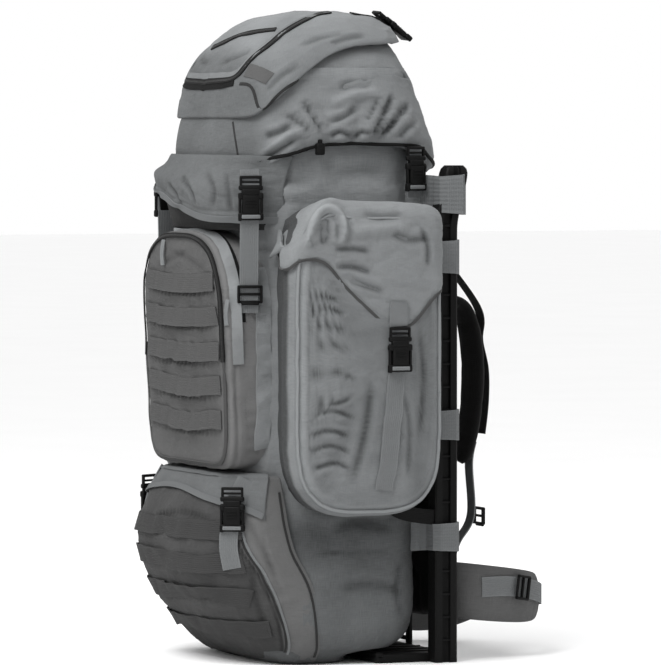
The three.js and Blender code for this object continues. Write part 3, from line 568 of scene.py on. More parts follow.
def tube(name, points, radius, material, on=None, lift=0.0, make=True, rings=8, step=4, replaced=()):
    path, length = walked(points, step, 6)
    if on:
        for i, p in enumerate(path):
            spot, normal, _, _ = on.find_nearest(p * mm)
            path[i] = spot / mm + normal * lift
    for _ in range(2):
        path = eased(path)
    side = Vector((0.3, 0.2, 1)).normalized()
    frames = []
    for i, p in enumerate(path):
        along = alongAt(path, i)
        side = (side - along * side.dot(along)).normalized()
        frames.append((p, side, along.cross(side)))
    last = len(path) - 1

    def place(u, v):
        i = min(int(round(u * (last + 2))) - 1, last + 1)
        end = i < 0 or i > last
        p, a, b = frames[min(max(i, 0), last)]
        if end:
            return p
        return p + (a * math.cos(turn * v) + b * math.sin(turn * v)) * radius

    piece = skin(last + 2, rings, place, size=(length, 1))
    evenNormals(piece)
    if not make:
        return piece
    return finished(piece, name, material, replaced)


def block(low, high, bevel, segments=2):  # a rounded block between two corners, in millimetres
    low, high = Vector(low), Vector(high)
    deselect()
    bpy.ops.mesh.primitive_cube_add(size=1, location=(low + high) / 2 * mm)
    piece = bpy.context.object
    piece.scale = (high - low) * mm
    bpy.ops.object.transform_apply(location=True, rotation=True, scale=True)
    return applied(piece, "BEVEL", width=bevel * mm, segments=segments, limit_method="ANGLE")


def joined(pieces):
    deselect()
    for piece in pieces:
        piece.select_set(True)
    bpy.context.view_layer.objects.active = pieces[0]
    bpy.ops.object.join()
    return bpy.context.object


def copied(piece, matrix, mirrored=False):
    twin = piece.copy()
    twin.data = piece.data.copy()
    bpy.context.scene.collection.objects.link(twin)
    twin.data.transform(matrix)
    if mirrored:
        twin.data.flip_normals()
    return twin


def seated(point, face, along):  # a part's own width, length and thickness axes, set at a point
    face, along = Vector(face).normalized(), Vector(along).normalized()
    side = along.cross(face)
    matrix = Matrix((side, along, face)).transposed().to_4x4()
    return Matrix.Translation(Vector(point) * mm) @ matrix


mirror = Matrix.Scale(-1, 4, (1, 0, 0))


def onSide(piece, side):  # the right-hand piece as it is, or turned into its left-hand twin
    if side < 0:
        piece.data.transform(mirror)
        piece.data.flip_normals()
    return piece


sides = (("right", 1), ("left", -1))

# floor and light
stageLook = {"floor": 60, "world": 1.0, "side": 0.4, "above": 1.08, "key": 100, "fill": 16}
bpy.ops.mesh.primitive_plane_add(size=stageLook["floor"], location=(0, 0, -0.0005))
floor = bpy.context.object
floor.name = "floor"
floorFinish = Finish("pale_floor")
floorPlace = floorFinish.node("ShaderNodeTexCoord", out=3)
floorTone = floorFinish.mix(floorFinish.grain(floorPlace, 3), tone(0.93), tone(0.97))
floor.data.materials.append(floorFinish.set(Base_Color=floorTone, Roughness=0.9))
world = bpy.data.worlds.new("studio")
world.use_nodes = True
skyTree = world.node_tree
skyTree.nodes["Background"].inputs[0].default_value = (1, 1, 1, 1)
direction = skyTree.nodes.new("ShaderNodeTexCoord").outputs[0]
facing = skyTree.nodes.new("ShaderNodeVectorMath")
facing.operation = "DOT_PRODUCT"
skyTree.links.new(direction, facing.inputs[0])
facing.inputs[1].default_value = -away
behind = ((Wire(skyTree, facing.outputs["Value"]) - 0.9) * 14).maths("MAXIMUM", 0).maths("MINIMUM", 1)
split = skyTree.nodes.new("ShaderNodeSeparateXYZ")
skyTree.links.new(direction, split.inputs[0])
above = (Wire(skyTree, split.outputs[2]) * 1.6).maths("MAXIMUM", 0).maths("MINIMUM", 1)
side = above * (stageLook["above"] - stageLook["side"]) + stageLook["side"]
plug(skyTree, skyTree.nodes["Background"].inputs[1], side + behind * (stageLook["world"] - side))
bpy.context.scene.world = world


def softLight(name, power, size, spot, target):
    bpy.ops.object.light_add(type="AREA", location=spot)
    lamp = bpy.context.object
    lamp.name = name
    lamp.data.energy = power
    lamp.data.size = size
    lamp.rotation_euler = (Vector(spot) - Vector(target)).to_track_quat("Z", "Y").to_euler()


softLight("key_light", stageLook["key"], 1.6, (1.1, -1.7, 2.9), (0, 0, 0.45))
softLight("back_light", stageLook["fill"], 1.4, (-1.4, 2.2, 1.9), (0, 0, 0.45))
bpy.context.scene.view_settings.view_transform = "Standard"
print("stage set")

# main bag
bag = {"width": 350, "depth": 240, "shoulder": 640, "mouth": 800, "crumple": 3.2}
bagRows = [  # height share, width, depth, shift, power
    (0, 0.8, 0.46, -0.25, 3.4), (0.0235, 0.9, 0.6, -0.28, 3.6), (0.035, 0.94, 0.86, -0.04, 3.8),
    (0.08, 0.985, 0.985, 0, 4.2), (0.17, 1, 1, 0, 4.6), (0.67, 1, 1, 0, 4.6), (1, 0.94, 1, 0, 4)]


def bagPoint(u, v):
    angle = cornerAngle(u) + math.pi / 2
    if v > 0.9:  # the collar, inside the hood
        s = (v - 0.9) / 0.1
        x, y = boxShares(angle, 3.8)
        half = blend(1, 0.86, s)
        depth = blend(120, 139, smooth(s * 4))
        return (x * 158 * half, y * depth * half + 5 * s, blend(bag["shoulder"], bag["mouth"], s))
    rise = max(0.0, (v - 0.04) / 0.86)
    width, depth, shift, power = trace(bagRows, rise ** 1.15)
    x, y = boxShares(angle, power)
    inner = min(1.0, v / 0.04)
    return (x * width * bag["width"] / 2 * inner, (y * depth * inner + shift) * bag["depth"] / 2,
            rise ** 1.15 * bag["shoulder"])


def bagSwell(p, u, v):
    if v < 0.05:
        return 0
    low = hump(p.z, 235, 90) * smooth((-p.y - 20) / 60)
    gathers = low * 1.4 * creases(p, (30, 30, 9), 3.1, 0.7) * smooth((p.y + 70) / 30)
    seam = -2.2 * hump(p.z, 142, 5) * smooth((p.y + 60) / 20)
    belly = 3 * hump(p.z, 80, 90) * hump(abs(p.x), 175, 60)
    strain = 1.6 * creases(p, (40, 18, 160), 5.2, 0.6)
    return gathers + seam + belly + strain + crumpled(p, 1.3, bag["crumple"])


# darker low down, partly the cloth's own darker tone and partly painted shade; darker still near the floor
# as painted shade, and darker in a band near 172 mm and towards the rear
def bagToneAndPaintedShade(p, u, v):
    low = smooth((238 - p.z) / 60)
    rear = smooth((p.y - 60) / 50) * smooth((600 - p.z) / 60)
    return -0.5 * low - 0.3 * hump(p.z, 172, 60) - 0.25 * smooth((60 - p.z) / 60) - 0.3 * rear


mainBag = outwards(skin(190, 116, bagPoint, bagSwell, (1050, 860), 0, bagToneAndPaintedShade), (0, 0, 400))
bagFolds = [  # depth, width and line in the picture
    (2.6, 5, [(270, 186), (296, 182), (322, 187), (345, 186)]),
    (2.4, 5, [(330, 176), (362, 171), (398, 178)]),
    (2.2, 4, [(268, 205), (290, 201), (308, 206)]), (2.2, 4, [(240, 240), (262, 250), (280, 246)]),
    (1.8, 3, [(244, 402), (264, 398)]), (1.8, 3, [(244, 420), (266, 418)]),
    (1.8, 3, [(244, 438), (266, 434)]),
    (1.8, 3, [(244, 455), (266, 452)]), (1.8, 3, [(246, 470), (264, 470)]),
    (2.4, 7, [(330, 530), (360, 524), (395, 531)]), (2.2, 7, [(338, 590), (372, 584), (404, 592)]),
    (1.6, 3, [(312, 553), (350, 554), (393, 552)]),
    (2.2, 6, [(300, 500), (330, 514), (372, 520), (410, 512)]),
    (2.0, 5, [(400, 560), (396, 590), (402, 618)])]
carve(mainBag, bagFolds, True)
thicken(mainBag)
finished(mainBag, "main_bag_cloth", cloth, ["main_bag"])
print("main bag", len(mainBag.data.polygons))

# lid: hood with a gathered hem, and the pocket on top
lid = {"width": 330, "depth": 302, "shift": 5, "foot": 610, "hoodTop": 860, "top": 880}
lidRows = [  # rise, share, shift
    (0, 1, 0), (0.23, 1, 0), (0.4, 0.985, 0), (0.6, 0.9, 0), (0.77, 0.78, 0.02), (0.9, 0.62, 0.06),
    (0.97, 0.46, 0.1), (1, 0.26, 0.13)]
hemLine = [  # Y, height of the hem on the pack's side
    (-160, 657), (-122, 661), (-90, 674), (-60, 685), (-37, 693), (12, 696), (46, 695), (96, 691),
    (112, 676), (155, 657)]


def hemAt(x, y):
    return blend(662, trace(hemLine, y), smooth(abs(x) / 120))


def lidRing(angle, rise, top, grow=0.0):
    share, shift = trace(lidRows, rise)
    x, y = boxShares(angle, 3.8)
    return (x * (share * lid["width"] / 2 + grow), y * (share * lid["depth"] / 2 + grow) + lid["shift"]
            + shift * lid["depth"] / 2, blend(lid["foot"], top, rise))


def hoodPoint(u, v):
    angle = cornerAngle(u) + math.pi / 2
    edge = lidRing(angle, 0.2, lid["hoodTop"])
    low = (hemAt(edge[0], edge[1]) - lid["foot"]) / (lid["hoodTop"] - lid["foot"])
    if v > 0.94:
        x, y, z = lidRing(angle, 1, lid["hoodTop"])
        s = (1 - v) / 0.06
        return (x * s, 25 + (y - 25) * s, z + 1 - s)
    return lidRing(angle, blend(low, 1, (v / 0.94) ** 1.1), lid["hoodTop"])


def hoodSwell(p, u, v):
    side = smooth(abs(p.x) / 90) * smooth((p.y + 105) / 30)
    radiate = (math.atan2(p.z - 640, p.y + 10)) * 5.2
    folds = math.sin(radiate * 2.6 + 1.8 * noise.noise(Vector((p.x * 0.01, p.y * 0.02, p.z * 0.012))))
    near = smooth(1 - (p.z - hemAt(p.x, p.y)) / 95)
    puff = 7.5 * math.sin(math.pi * clamp(v * 3.2)) * side
    tucked = -5 * smooth(1 - v * 22)
    return (puff + tucked + 3.2 * folds * near * side
            + crumpled(p, 2.2, 3.6) * smooth(v * 8) * (0.35 + 0.65 * side))


# painted light: the top paler where the light from above falls, the front darker as painted shade
def hoodPaintedLight(p, u, v):
    return 0.2 * smooth((p.z - 780) / 60) - 0.5 * smooth((-p.y - 95) / 30)


hood = outwards(skin(236, 92, hoodPoint, hoodSwell, (1000, 330), 0, hoodPaintedLight), (0, 0, 700))
hoodFolds = [
    (6.5, 4, [(304, 99), (312, 113), (323, 130)]), (5.5, 4, [(330, 122), (345, 116), (358, 107)]),
    (7, 4, [(373, 139), (383, 117), (394, 93)]), (7, 4, [(378, 139), (394, 122), (410, 103)]),
    (6, 4, [(262, 161), (280, 149), (299, 137)]), (4.5, 4, [(264, 137), (280, 131), (292, 124)]),
    (4.5, 4, [(286, 114), (300, 122), (312, 133)]), (5, 3, [(330, 138), (340, 132), (352, 138)]),
    (4, 3, [(352, 140), (362, 132), (372, 136)]), (4, 4, [(398, 140), (408, 128), (418, 120)]),
    (3.5, 3, [(366, 122), (374, 108), (380, 96)]), (3.5, 5, [(340, 90), (352, 84), (372, 86)]),
    (4.5, 3, [(384, 72), (396, 73), (409, 78)]), (-3.5, 6, [(330, 104), (350, 96), (380, 90)]),
    (-4, 6, [(268, 150), (290, 136), (306, 128)])]
carve(hood, hoodFolds, True, 0.7)
thicken(hood)
finished(hood, "lid_hood_cloth", cloth, ["lid_hood"])
hoodTree = surfaceTree(hood)

seamLine = [(-160, 735), (-122, 736), (-100, 752), (-60, 784), (-30, 805), (0, 821), (40, 832), (100, 836),
            (160, 836)]


def slantAt(y):
    return trace(seamLine, y)


def pocketPoint(u, v):
    angle = cornerAngle(u) + math.pi / 2
    top = lid["top"] - 6
    over = blend(7, 1.5, smooth((-math.sin(angle) - 0.62) / 0.3))
    edge = lidRing(angle, 0.6, top, over)
    for _ in range(3):
        rise = clamp((slantAt(edge[1]) - lid["foot"]) / (top - lid["foot"]))
        edge = lidRing(angle, rise, top, over)
    if v < 0.05:  # the edge turns in under the pocket
        x, y, z = lidRing(angle, rise, top, blend(min(2, over - 1), over, v / 0.05))
        return (x, y, z + 2 * (v / 0.05 - 1))
    if v > 0.93:
        x, y, z = lidRing(angle, 1, top, 7)
        s = (1 - v) / 0.07
        return (x * s, 22 + (y - 22) * s, z + 5 - 5 * s * s)
    up = ((v - 0.05) / 0.88) ** 1.05
    return lidRing(angle, blend(rise, 1, up), top, blend(over, 7, smooth(up * 2)))


def pocketSwell(p, u, v):
    side = smooth(abs(p.x) / 80)
    full = 2.5 * math.sin(math.pi * clamp(v * 1.6))
    back = smooth((p.y - 10) / 60) * side
    ruck = back * 2.6 * creases(p, (60, 34, 20), 8.4, 0.7)
    return full + ruck + crumpled(p, 4.4, 3.0) * smooth(v * 6)


# painted light: the top paler where the light from above falls, the front darker as painted shade
def lidPocketPaintedLight(p, u, v):
    return 0.3 * smooth((p.z - 800) / 70) - 0.5 * smooth((-p.y - 95) / 30)


lidPocket = outwards(skin(240, 84, pocketPoint, pocketSwell, (940, 260), 0, lidPocketPaintedLight), (0, 10, 700))
lidPocketFolds = [
    (3, 4, [(345, 58), (362, 52), (384, 50)]), (3, 4, [(356, 66), (376, 62), (398, 66)]),
    (2.6, 4, [(300, 46), (322, 38), (348, 34)]),
    (2.5, 4, [(266, 92), (282, 76), (300, 66)]), (2.5, 5, [(218, 64), (238, 56), (252, 50)]),
    (3, 4, [(330, 44), (350, 38), (368, 36)])]
carve(lidPocket, lidPocketFolds, True)
thicken(lidPocket)
finished(lidPocket, "lid_pocket_cloth", cloth, ["lid_pocket"])
pocketTree = surfaceTree(lidPocket)
print("lid", len(hood.data.polygons), len(lidPocket.data.polygons))
bpy.context.view_layer.update()


def around(tree, radiusX, radiusY, heightAt, first, last, count=40, shiftY=5.0):
    # points on a piece at chosen heights, found by looking in from outside
    points = []
    for i in range(count + 1):
        angle = math.radians(blend(first, last, i / count))
        out = Vector((math.cos(angle) * radiusX, math.sin(angle) * radiusY + shiftY, 0))
        z = heightAt(out.x, out.y)
        start = Vector((out.x * 1.6, out.y * 1.6, z)) * mm
        aim = (Vector((0, shiftY, z)) * mm - start).normalized()
        hit, _, _, _ = tree.ray_cast(start, aim)
        if hit:
            points.append(hit / mm)
    return points


# zips, flap and pulls of the lid pocket
edgeZipSeen = [(201, 83), (208, 82), (221, 81), (234, 79), (241, 73), (249, 62), (259, 53), (270, 45),
               (282, 34), (300, 23), (318, 15), (330, 13)]
edgeZipLine = overMiddle(seenLine(pocketTree, edgeZipSeen))
strap("lid_edge_zip_tape", edgeZipLine, 7.5, 1.6, on=pocketTree, lift=0.5, material=zipTape,
      replaced=["lid_edge_zip"])
strap("lid_zip_flap", [p + Vector((0, 0, 9)) for p in edgeZipLine], 8, 1.4, on=pocketTree, lift=0.6,
      material=cloth)
hangSeen = [(201, 88), (208, 87), (221, 86), (234, 83)]
strap("lid_zip_shadow_gap", overMiddle(seenLine(pocketTree, hangSeen)), 8, 1.2, on=pocketTree, lift=0.2,
      material=webbingBlack)
topZipSeen = [(213, 48), (226, 42), (239, 36), (258, 32), (276, 30)]
strap("lid_top_zip_tape", seenLine(pocketTree, topZipSeen), 8, 1.6, on=pocketTree, lift=0.4,
      material=zipTape, replaced=["lid_top_zip"])
pocketSeamSeen = [(240, 84), (252, 86), (258, 108), (262, 111), (281, 92), (301, 78), (322, 64), (341, 53),
                  (360, 47), (380, 47)]
seamNear = seenLine(pocketTree, pocketSeamSeen)
# dark seam lines in near-black cloth, painted as the shadow under the pocket's edge
for seamName, run in (("right", seamNear), ("left", mirrorPoints(seamNear))):
    strap(f"lid_pocket_seam_shadow_{seamName}", run, 4, 1.2, on=pocketTree, lift=0.2, material=shadeCloth,
          cells=2)
# dark seam lines on the hood in near-black cloth, painted shadow
hoodSeamsSeen = [[(233, 122), (236, 142), (239, 161)],
                 [(178, 169), (196, 164), (218, 165), (240, 165)]]
for k, line in enumerate(hoodSeamsSeen):
    strap(f"hood_seam_shadow_{k}", seenLine(hoodTree, line), 2.6, 0.9, on=hoodTree, lift=0.1, material=shadeCloth,
          cells=2)
patchSeen = [(247, 70), (258, 73), (270, 79)]
strap("lid_side_patch", seenLine(pocketTree, patchSeen), 20, 0.8, on=pocketTree, lift=0.1,
      material=clothDark, cells=6)

# hem: black elastic cord in its channel, and the cord lock that draws it up
hemPoints = around(hoodTree, 165, 150, lambda x, y: hemAt(x, y) + 3, -268, 88, 130)
tube("hem_elastic", hemPoints, 2.6, webbingBlack, hoodTree, 0.6)
for name, side in sides:
    spot = Vector((side * 170, -36, 691))
    lock = joined([block((-5, -6, -8), (5, 6, 8), 2.5, 3), block((-3, -3, 6), (3, 3, 13), 1.6)])
    lock.data.transform(Matrix.Translation(spot * mm))
    finished(lock, f"hem_cord_lock_{name}", plastic, (), 40)
print("lid trims")

# visor
visor = {"width": 322, "reach": 180, "top": 677, "height": 92}
visorRows = [(0, 0.84, 0.985), (0.25, 0.93, 0.995), (0.52, 1, 1), (1, 0.965, 0.98)]
lipLine = [(-165, 641), (-100, 636), (5, 612), (74, 599), (165, 594)]  # X, height of the lip


def visorPoint(u, v):
    angle = math.radians(blend(-155, -25, u))
    reach, width = trace(visorRows, v)
    x, y = boxShares(angle, 3.8)
    x = x * width * visor["width"] / 2
    lip = trace(lipLine, x)
    reach += 0.02 * hump(v, 1, 0.25) * (x < 0)
    return (x, y * reach * visor["reach"], blend(visor["top"] + 4, lip, v))


def visorSwell(p, u, v):
    tuckTop = -4 * smooth(1 - v * 6)
    hem = 1.2 * hump(v, 0.86, 0.05)
    return tuckTop + hem + crumpled(p, 6.1, 4.2) * smooth(v * 4)


def liningPoint(u, v):
    angle = math.radians(blend(-153, -27, u))
    x, y = boxShares(angle, 3.8)
    return (x * blend(152, 149, v), y * blend(168, 153, v), blend(638, 583, v))


def visorWear(p, u, v):
    return 0.25 * smooth((v - 0.9) / 0.1) - 0.5


visorPiece = outwards(skin(150, 48, visorPoint, visorSwell, (620, 100), 0, visorWear), (0, 0, 640))
visorFolds = [
    (3, 4, [(181, 176), (190, 190), (196, 206)]), (2.6, 4, [(206, 172), (214, 190), (212, 208)]),
    (2.4, 3, [(226, 172), (229, 195), (232, 214)]), (2.4, 4, [(166, 182), (176, 194), (182, 206)]),
    (2.2, 4, [(262, 186), (256, 200), (262, 214)])]
carve(visorPiece, visorFolds)
thicken(visorPiece, 2.4)
# the lining under the visor in near-black cloth, painted as the shade beneath the brim
visorLining = skin(100, 14, liningPoint, lambda p, u, v: crumpled(p, 4.1, 3), (560, 70), 1.6)
finished(outwards(visorLining, (0, 0, 620)), "visor_lining_shade", shadeCloth)
finished(visorPiece, "visor_cloth", cloth, ["lid_visor"])
visorTree = surfaceTree(visorPiece)
visorHem = [visorPoint(blend(0.004, 0.996, i / 60), 0.985) for i in range(61)]
strap("visor_binding", visorHem, 9, 1.2, on=visorTree,
      lift=0.2, material=binding)
print("visor", len(visorPiece.data.polygons))

# front pocket
front = {"width": 306, "bottom": 262, "top": 580, "reach": 168, "lean": 0.045, "arch": 132, "round": 10}
front["middle"] = front["top"] - front["arch"]


def frontOutline(angle, inset, behind):
    upper = math.sin(angle) >= 0
    x, z = boxShares(angle, 3 if upper else 9)
    half = front["arch"] if upper else front["middle"] - front["bottom"]
    height = front["middle"] + z * (half - inset)
    lean = front["lean"] * (height - front["middle"])
    return (x * (front["width"] / 2 - inset), -front["reach"] + behind - lean, height)


def frontPoint(u, v):
    angle = turn * u
    if v < 0.32:
        return frontOutline(angle, 0, blend(66, 12, v / 0.32))
    if v < 0.44:
        s = (v - 0.32) / 0.12 * math.pi / 2
        return frontOutline(angle, 11 * (1 - math.cos(s)), 12 - 11 * math.sin(s))
    s = (1 - v) / 0.56
    edge = frontOutline(angle, 11, 1)
    middle = (0, -front["reach"] + 0.5, 420)
    return tuple(blend(middle[k], edge[k], s) for k in range(3))


def frontSwell(p, u, v):
    gusset = 1 if v < 0.36 else 0
    pull = gusset * 1.6 * creases(p, (40, 40, 22), 9.2, 0.6)
    return pull + crumpled(p, 3.3, 2.6) - 1.5 * hump(v, 0.3, 0.03)


def frontWear(p, u, v):
    return 1.1 * smooth((0.4 - v) / 0.05) - 0.1 * smooth((v - 0.46) / 0.05)


frontPocket = outwards(skin(190, 80, frontPoint, frontSwell, (1100, 320), 0, frontWear), (0, -60, 420))
frontFolds = [
    (2.4, 4, [(152, 288), (180, 291), (218, 288)]), (2.4, 4, [(152, 322), (182, 325), (219, 321)]),
    (2.4, 4, [(153, 358), (184, 361), (220, 357)]), (2.4, 4, [(154, 391), (186, 394), (221, 390)]),
    (2.4, 4, [(156, 426), (188, 429), (222, 425)]), (2, 4, [(168, 250), (186, 258), (206, 272)]),
    (2.6, 3, [(242, 400), (266, 396)]), (2.6, 3, [(242, 414), (266, 411)]),
    (2.6, 3, [(243, 428), (265, 424)]),
    (2.6, 3, [(243, 441), (264, 438)]), (2.6, 3, [(244, 453), (262, 450)])]
carve(frontPocket, frontFolds, True)
thicken(frontPocket)
finished(frontPocket, "front_pocket_cloth", clothDark, ["front_pocket"])
frontTree = surfaceTree(frontPocket)
zipAngles = [blend(-0.07 * math.pi, 1.07 * math.pi, i / 60) for i in range(61)]
strap("front_pocket_zip_tape", [frontOutline(a, 4, -4) for a in zipAngles], 7, 2, on=frontTree, lift=0.8,
      material=zipTape, replaced=["front_pocket_zip"])
strap("front_pocket_band", [frontOutline(a, -8, 18) for a in zipAngles], 15, 1.6, on=frontTree, lift=0.6,
      material=clothPale, cells=6)
rearZipLine = [frontOutline(blend(0.03, 0.97, i / 50) * math.pi, -4, 29) for i in range(51)]
strap("front_pocket_rear_zip", rearZipLine, 6, 1.2, on=frontTree, lift=0.3,
      material=webbingBlack)
pipingLine = [frontOutline(blend(1.04 * math.pi, 1.96 * math.pi, i / 80), 6, 2) for i in range(81)]
strap("front_pocket_piping", pipingLine, 5, 2, on=frontTree, lift=0.2, material=webbingDark)
zipPullsSeen = ((156, 243), (165, 240), (229, 300))
for k, (left, top) in enumerate(zipPullsSeen):
    start = seen(frontTree, left, top)
    if start:
        drop = [start + Vector((0.2, -0.6, 0)), start + Vector((0.6, -2.5, -8)),
                start + Vector((-0.4, -3.2, -20)),
                start + Vector((0.8, -2.6, -34))]
        strap(f"front_zip_pull_{k}", drop, 6, 2, facing=(0.5, -0.86, 0), lift=0.5, material=bindingPale,
              cells=2, step=3)


def ladderRows(name, tree, lines, replaced, pitch=38, material=webbingDark):
    rows = []
    for line in lines:
        length = (Vector(line[-1]) - Vector(line[0])).length
        count = max(2, round(length / pitch))
        rows.append(strap(name, line, 25, 1.5, on=tree, lift=0.5, step=5, make=False,
                          ripple=lambda u, v, n=count: 1.7 * abs(math.sin(math.pi * n * u)) ** 0.6))
    return finished(joined(rows), name, material, replaced, 40)


frontLines = []
for row in range(5):
    z = 526 - 12.5 - row * 46
    arch = (1 - (max(0, z - front["middle"]) / (front["arch"] - 14)) ** 3) ** (1 / 3)
    half = arch * (front["width"] / 2 - 18)
    sags = [3 * math.cos(math.pi * (k / 20 - 0.5)) for k in range(21)]
    frontLines.append([(blend(-half, half, k / 20), -180, z - sag) for k, sag in enumerate(sags)])
ladderRows("front_ladder_rows", frontTree, frontLines, ["front_ladder_panel"])
for name, side in sides:
    run = [Vector((168 * side, -front["reach"] + 57, z)) for z in range(548, 276, -12)]
    strap(f"bag_corner_band_{name}", run, 21, 1.6, on=frontTree, lift=0.5, material=clothPale,
          cells=6,
          ripple=lambda u, v: 1.3 * math.sin(u * 90) * math.sin(u * 37) * math.sin(math.pi * v))
print("front pocket", len(frontPocket.data.polygons))

# bottom pocket and its flap
bottom = {"width": 332, "reach": 200, "top": 252, "strapShare": 0.332}
sideSeam = [(0, -34), (22, -35), (104, -48), (160, -77), (252, -96)]  # height, Y of the bag's side seam
panelSeam = [(0, -80), (16, -82), (72, -99), (124, -124), (160, -146), (252, -168)]
bottomRows = [(0, 0.77, 0.42), (0.05, 0.88, 0.55), (0.16, 0.96, 0.7), (0.365, 1, 0.88), (0.635, 1, 1),
              (0.85, 1, 0.95), (1, 0.98, 0.82)]


def bottomPoint(u, v, grow=0.0, first=-163, last=-17):
    angle = math.radians(blend(first, last, u))
    rise = clamp(v)
    width, reach = trace(bottomRows, rise)
    x, y = boxShares(angle, 3.8)
    z = rise * bottom["top"]
    wide = trace(bagRows, clamp(z / bag["shoulder"]))[0] * bag["width"] / 2 + 3
    rear = smooth((y + 0.9) / 0.4)
    back = trace(sideSeam, z)
    end = boxShares(math.radians(last), 3.8)[1] * reach * bottom["reach"]
    return (x * (blend(width * bottom["width"] / 2, wide, rear) + grow),
            y * (reach * bottom["reach"] + grow) + (back - end) * smooth((y + 0.8) / 0.5), z)


def bottomShell(u, v):
    if v < 0.12:  # underneath, back to the bag
        x, y, z = bottomPoint(u, 0)
        return (x, blend(-30, y, v / 0.12), 2.2)
    if v > 0.9:  # over the top, back to the bag
        x, y, z = bottomPoint(u, 1)
        s = (v - 0.9) / 0.1
        return (x * blend(1, 0.96, s), blend(y, -100, s), z + 3 * math.sin(math.pi * s))
    return bottomPoint(u, (v - 0.12) / 0.78)


def bottomSwell(p, u, v):
    if v < 0.14:
        return 0
    calm = smooth(min(u, 1 - u) * 12)
    folds = crumpled(p, 5.5, 3.6) + 1.4 * creases(p, (30, 30, 100), 2.4, 0.7)
    return 3 * hump(p.z, 130, 110) * calm + folds * calm


# the side panel paler and the rest darker are the cloth's own colours; darker near the floor and along the
# panel seam is painted shade
def bottomToneAndPaintedShade(p, u, v):
    side = smooth((p.y - trace(panelSeam, p.z)) / 4) * smooth((abs(p.x) - 90) / 30)
    seam = hump(p.y, trace(panelSeam, p.z), 4) * smooth((abs(p.x) - 90) / 30)
    return 1.15 * side - 0.55 - 0.25 * smooth((90 - p.z) / 80) - 0.5 * seam


bottomPocket = outwards(skin(180, 90, bottomShell, bottomSwell, (640, 440), 0, bottomToneAndPaintedShade), (0, -60, 130))
bottomFolds = [
    (2.4, 5, [(150, 520), (180, 512), (212, 520)]), (2.2, 4, [(246, 520), (262, 548), (278, 580)]),
    (2.4, 5, [(152, 560), (180, 556), (214, 562)]), (2.4, 5, [(160, 596), (190, 594), (226, 600)]),
    (2.2, 5, [(250, 560), (256, 600), (270, 640)]), (1.6, 3, [(262, 530), (268, 560), (284, 600)])]
carve(bottomPocket, bottomFolds)
thicken(bottomPocket)
finished(bottomPocket, "bottom_pocket_cloth", clothDark, ["bottom_pocket"])
bottomTree = surfaceTree(bottomPocket)


def flapEdgeHeight(u):
    return blend(198, 236, math.sin(math.pi * clamp(u)) ** 0.8)


def bottomFlapPoint(u, v):
    if v < 0.3:
        x, y, z = bottomPoint(blend(0.07, 0.93, u), 1, 3)
        s = 1 - v / 0.3
        return (x * blend(1, 0.96, s), blend(y, -112, s), 256 + 2 * math.sin(math.pi * s))
    s = (v - 0.3) / 0.7
    z = blend(255, flapEdgeHeight(u), smooth(s) * 0.3 + s * 0.7)
    x, y, _ = bottomPoint(blend(0.07, 0.93, u), z / bottom["top"], 4.5)
    return (x, y, z)


bottomFlap = skin(130, 26, bottomFlapPoint, lambda p, u, v: crumpled(p, 8.1, 2.4) + 1.5, (660, 120), 2,
                  lambda p, u, v: -0.4)
finished(outwards(bottomFlap, (0, -60, 180)), "bottom_flap_cloth", cloth, ["bottom_flap"])
flapTree = surfaceTree(bottomFlap)
for name, side in sides:
    edge = [Vector(bottomPoint(0.5 + side * 0.494, z / bottom["top"], 10)) for z in range(6, 236, 6)]
    # dark seam lines in near-black cloth, painted as shade along the seams
    strap(f"bottom_side_seam_shadow_{name}", edge, 3, 1.4, on=bottomTree, lift=0.3, material=shadeCloth,
          cells=2)
    seam = []
    for z in range(8, 224, 8):
        seam.append(min((Vector(bottomPoint(0.5 + side * k / 400, z / bottom["top"], 10))
                         for k in range(60, 200)),
                        key=lambda q, z=z: abs(q.y - trace(panelSeam, z))))
    strap(f"bottom_panel_seam_shadow_{name}", seam, 3, 1.2, on=bottomTree, lift=0.2, material=shadeCloth,
          cells=2)
    strap(f"bottom_panel_piping_{name}", [q + Vector((side * 1.2, 4.5, 0)) for q in seam], 3, 1.8,
          on=bottomTree, lift=0.3, material=bindingPale, cells=2)
bottomFlapHem = [bottomFlapPoint(blend(0.01, 0.99, i / 60), 0.97) for i in range(61)]
strap("bottom_flap_binding", bottomFlapHem, 8, 1.2,
      on=flapTree, lift=0.3, material=binding)
bottomLines = []
for row in range(4):
    z = (196 - 12.5 - row * 46) / bottom["top"]
    bottomLines.append([bottomPoint(blend(0.14, 0.86, k / 24), z, 12) for k in range(25)])
ladderRows("bottom_ladder_rows", bottomTree, bottomLines, ["bottom_ladder_panel"], material=webbingShaded)
print("bottom pocket", len(bottomPocket.data.polygons))

# side pouches
pouch = {"reach": 82, "length": 216, "bottom": 204, "middle": 330, "top": 622, "wall": 175, "round": 20,
         "crown": 9}
topLine = [  # Y, height of the pouch's top
    (-118, 548), (-108, 560), (-95, 582), (-80, 606), (-57, 621), (-28, 617), (40, 616), (90, 611),
    (118, 600)]


def pouchOutline(angle, inset, x):
    upper = math.sin(angle) >= 0
    y, z = boxShares(angle, 6 if upper else 3.2)
    half = pouch["top"] - pouch["middle"] if upper else pouch["middle"] - pouch["bottom"]
    narrow = blend(0.86, 1, smooth((x - pouch["wall"] + 4) / 52))
    y = y * (pouch["length"] / 2 - inset) * narrow
    z = pouch["middle"] + z * (half - inset)
    return (x, y, min(z, trace(topLine, y) - 9 - inset * 0.6))


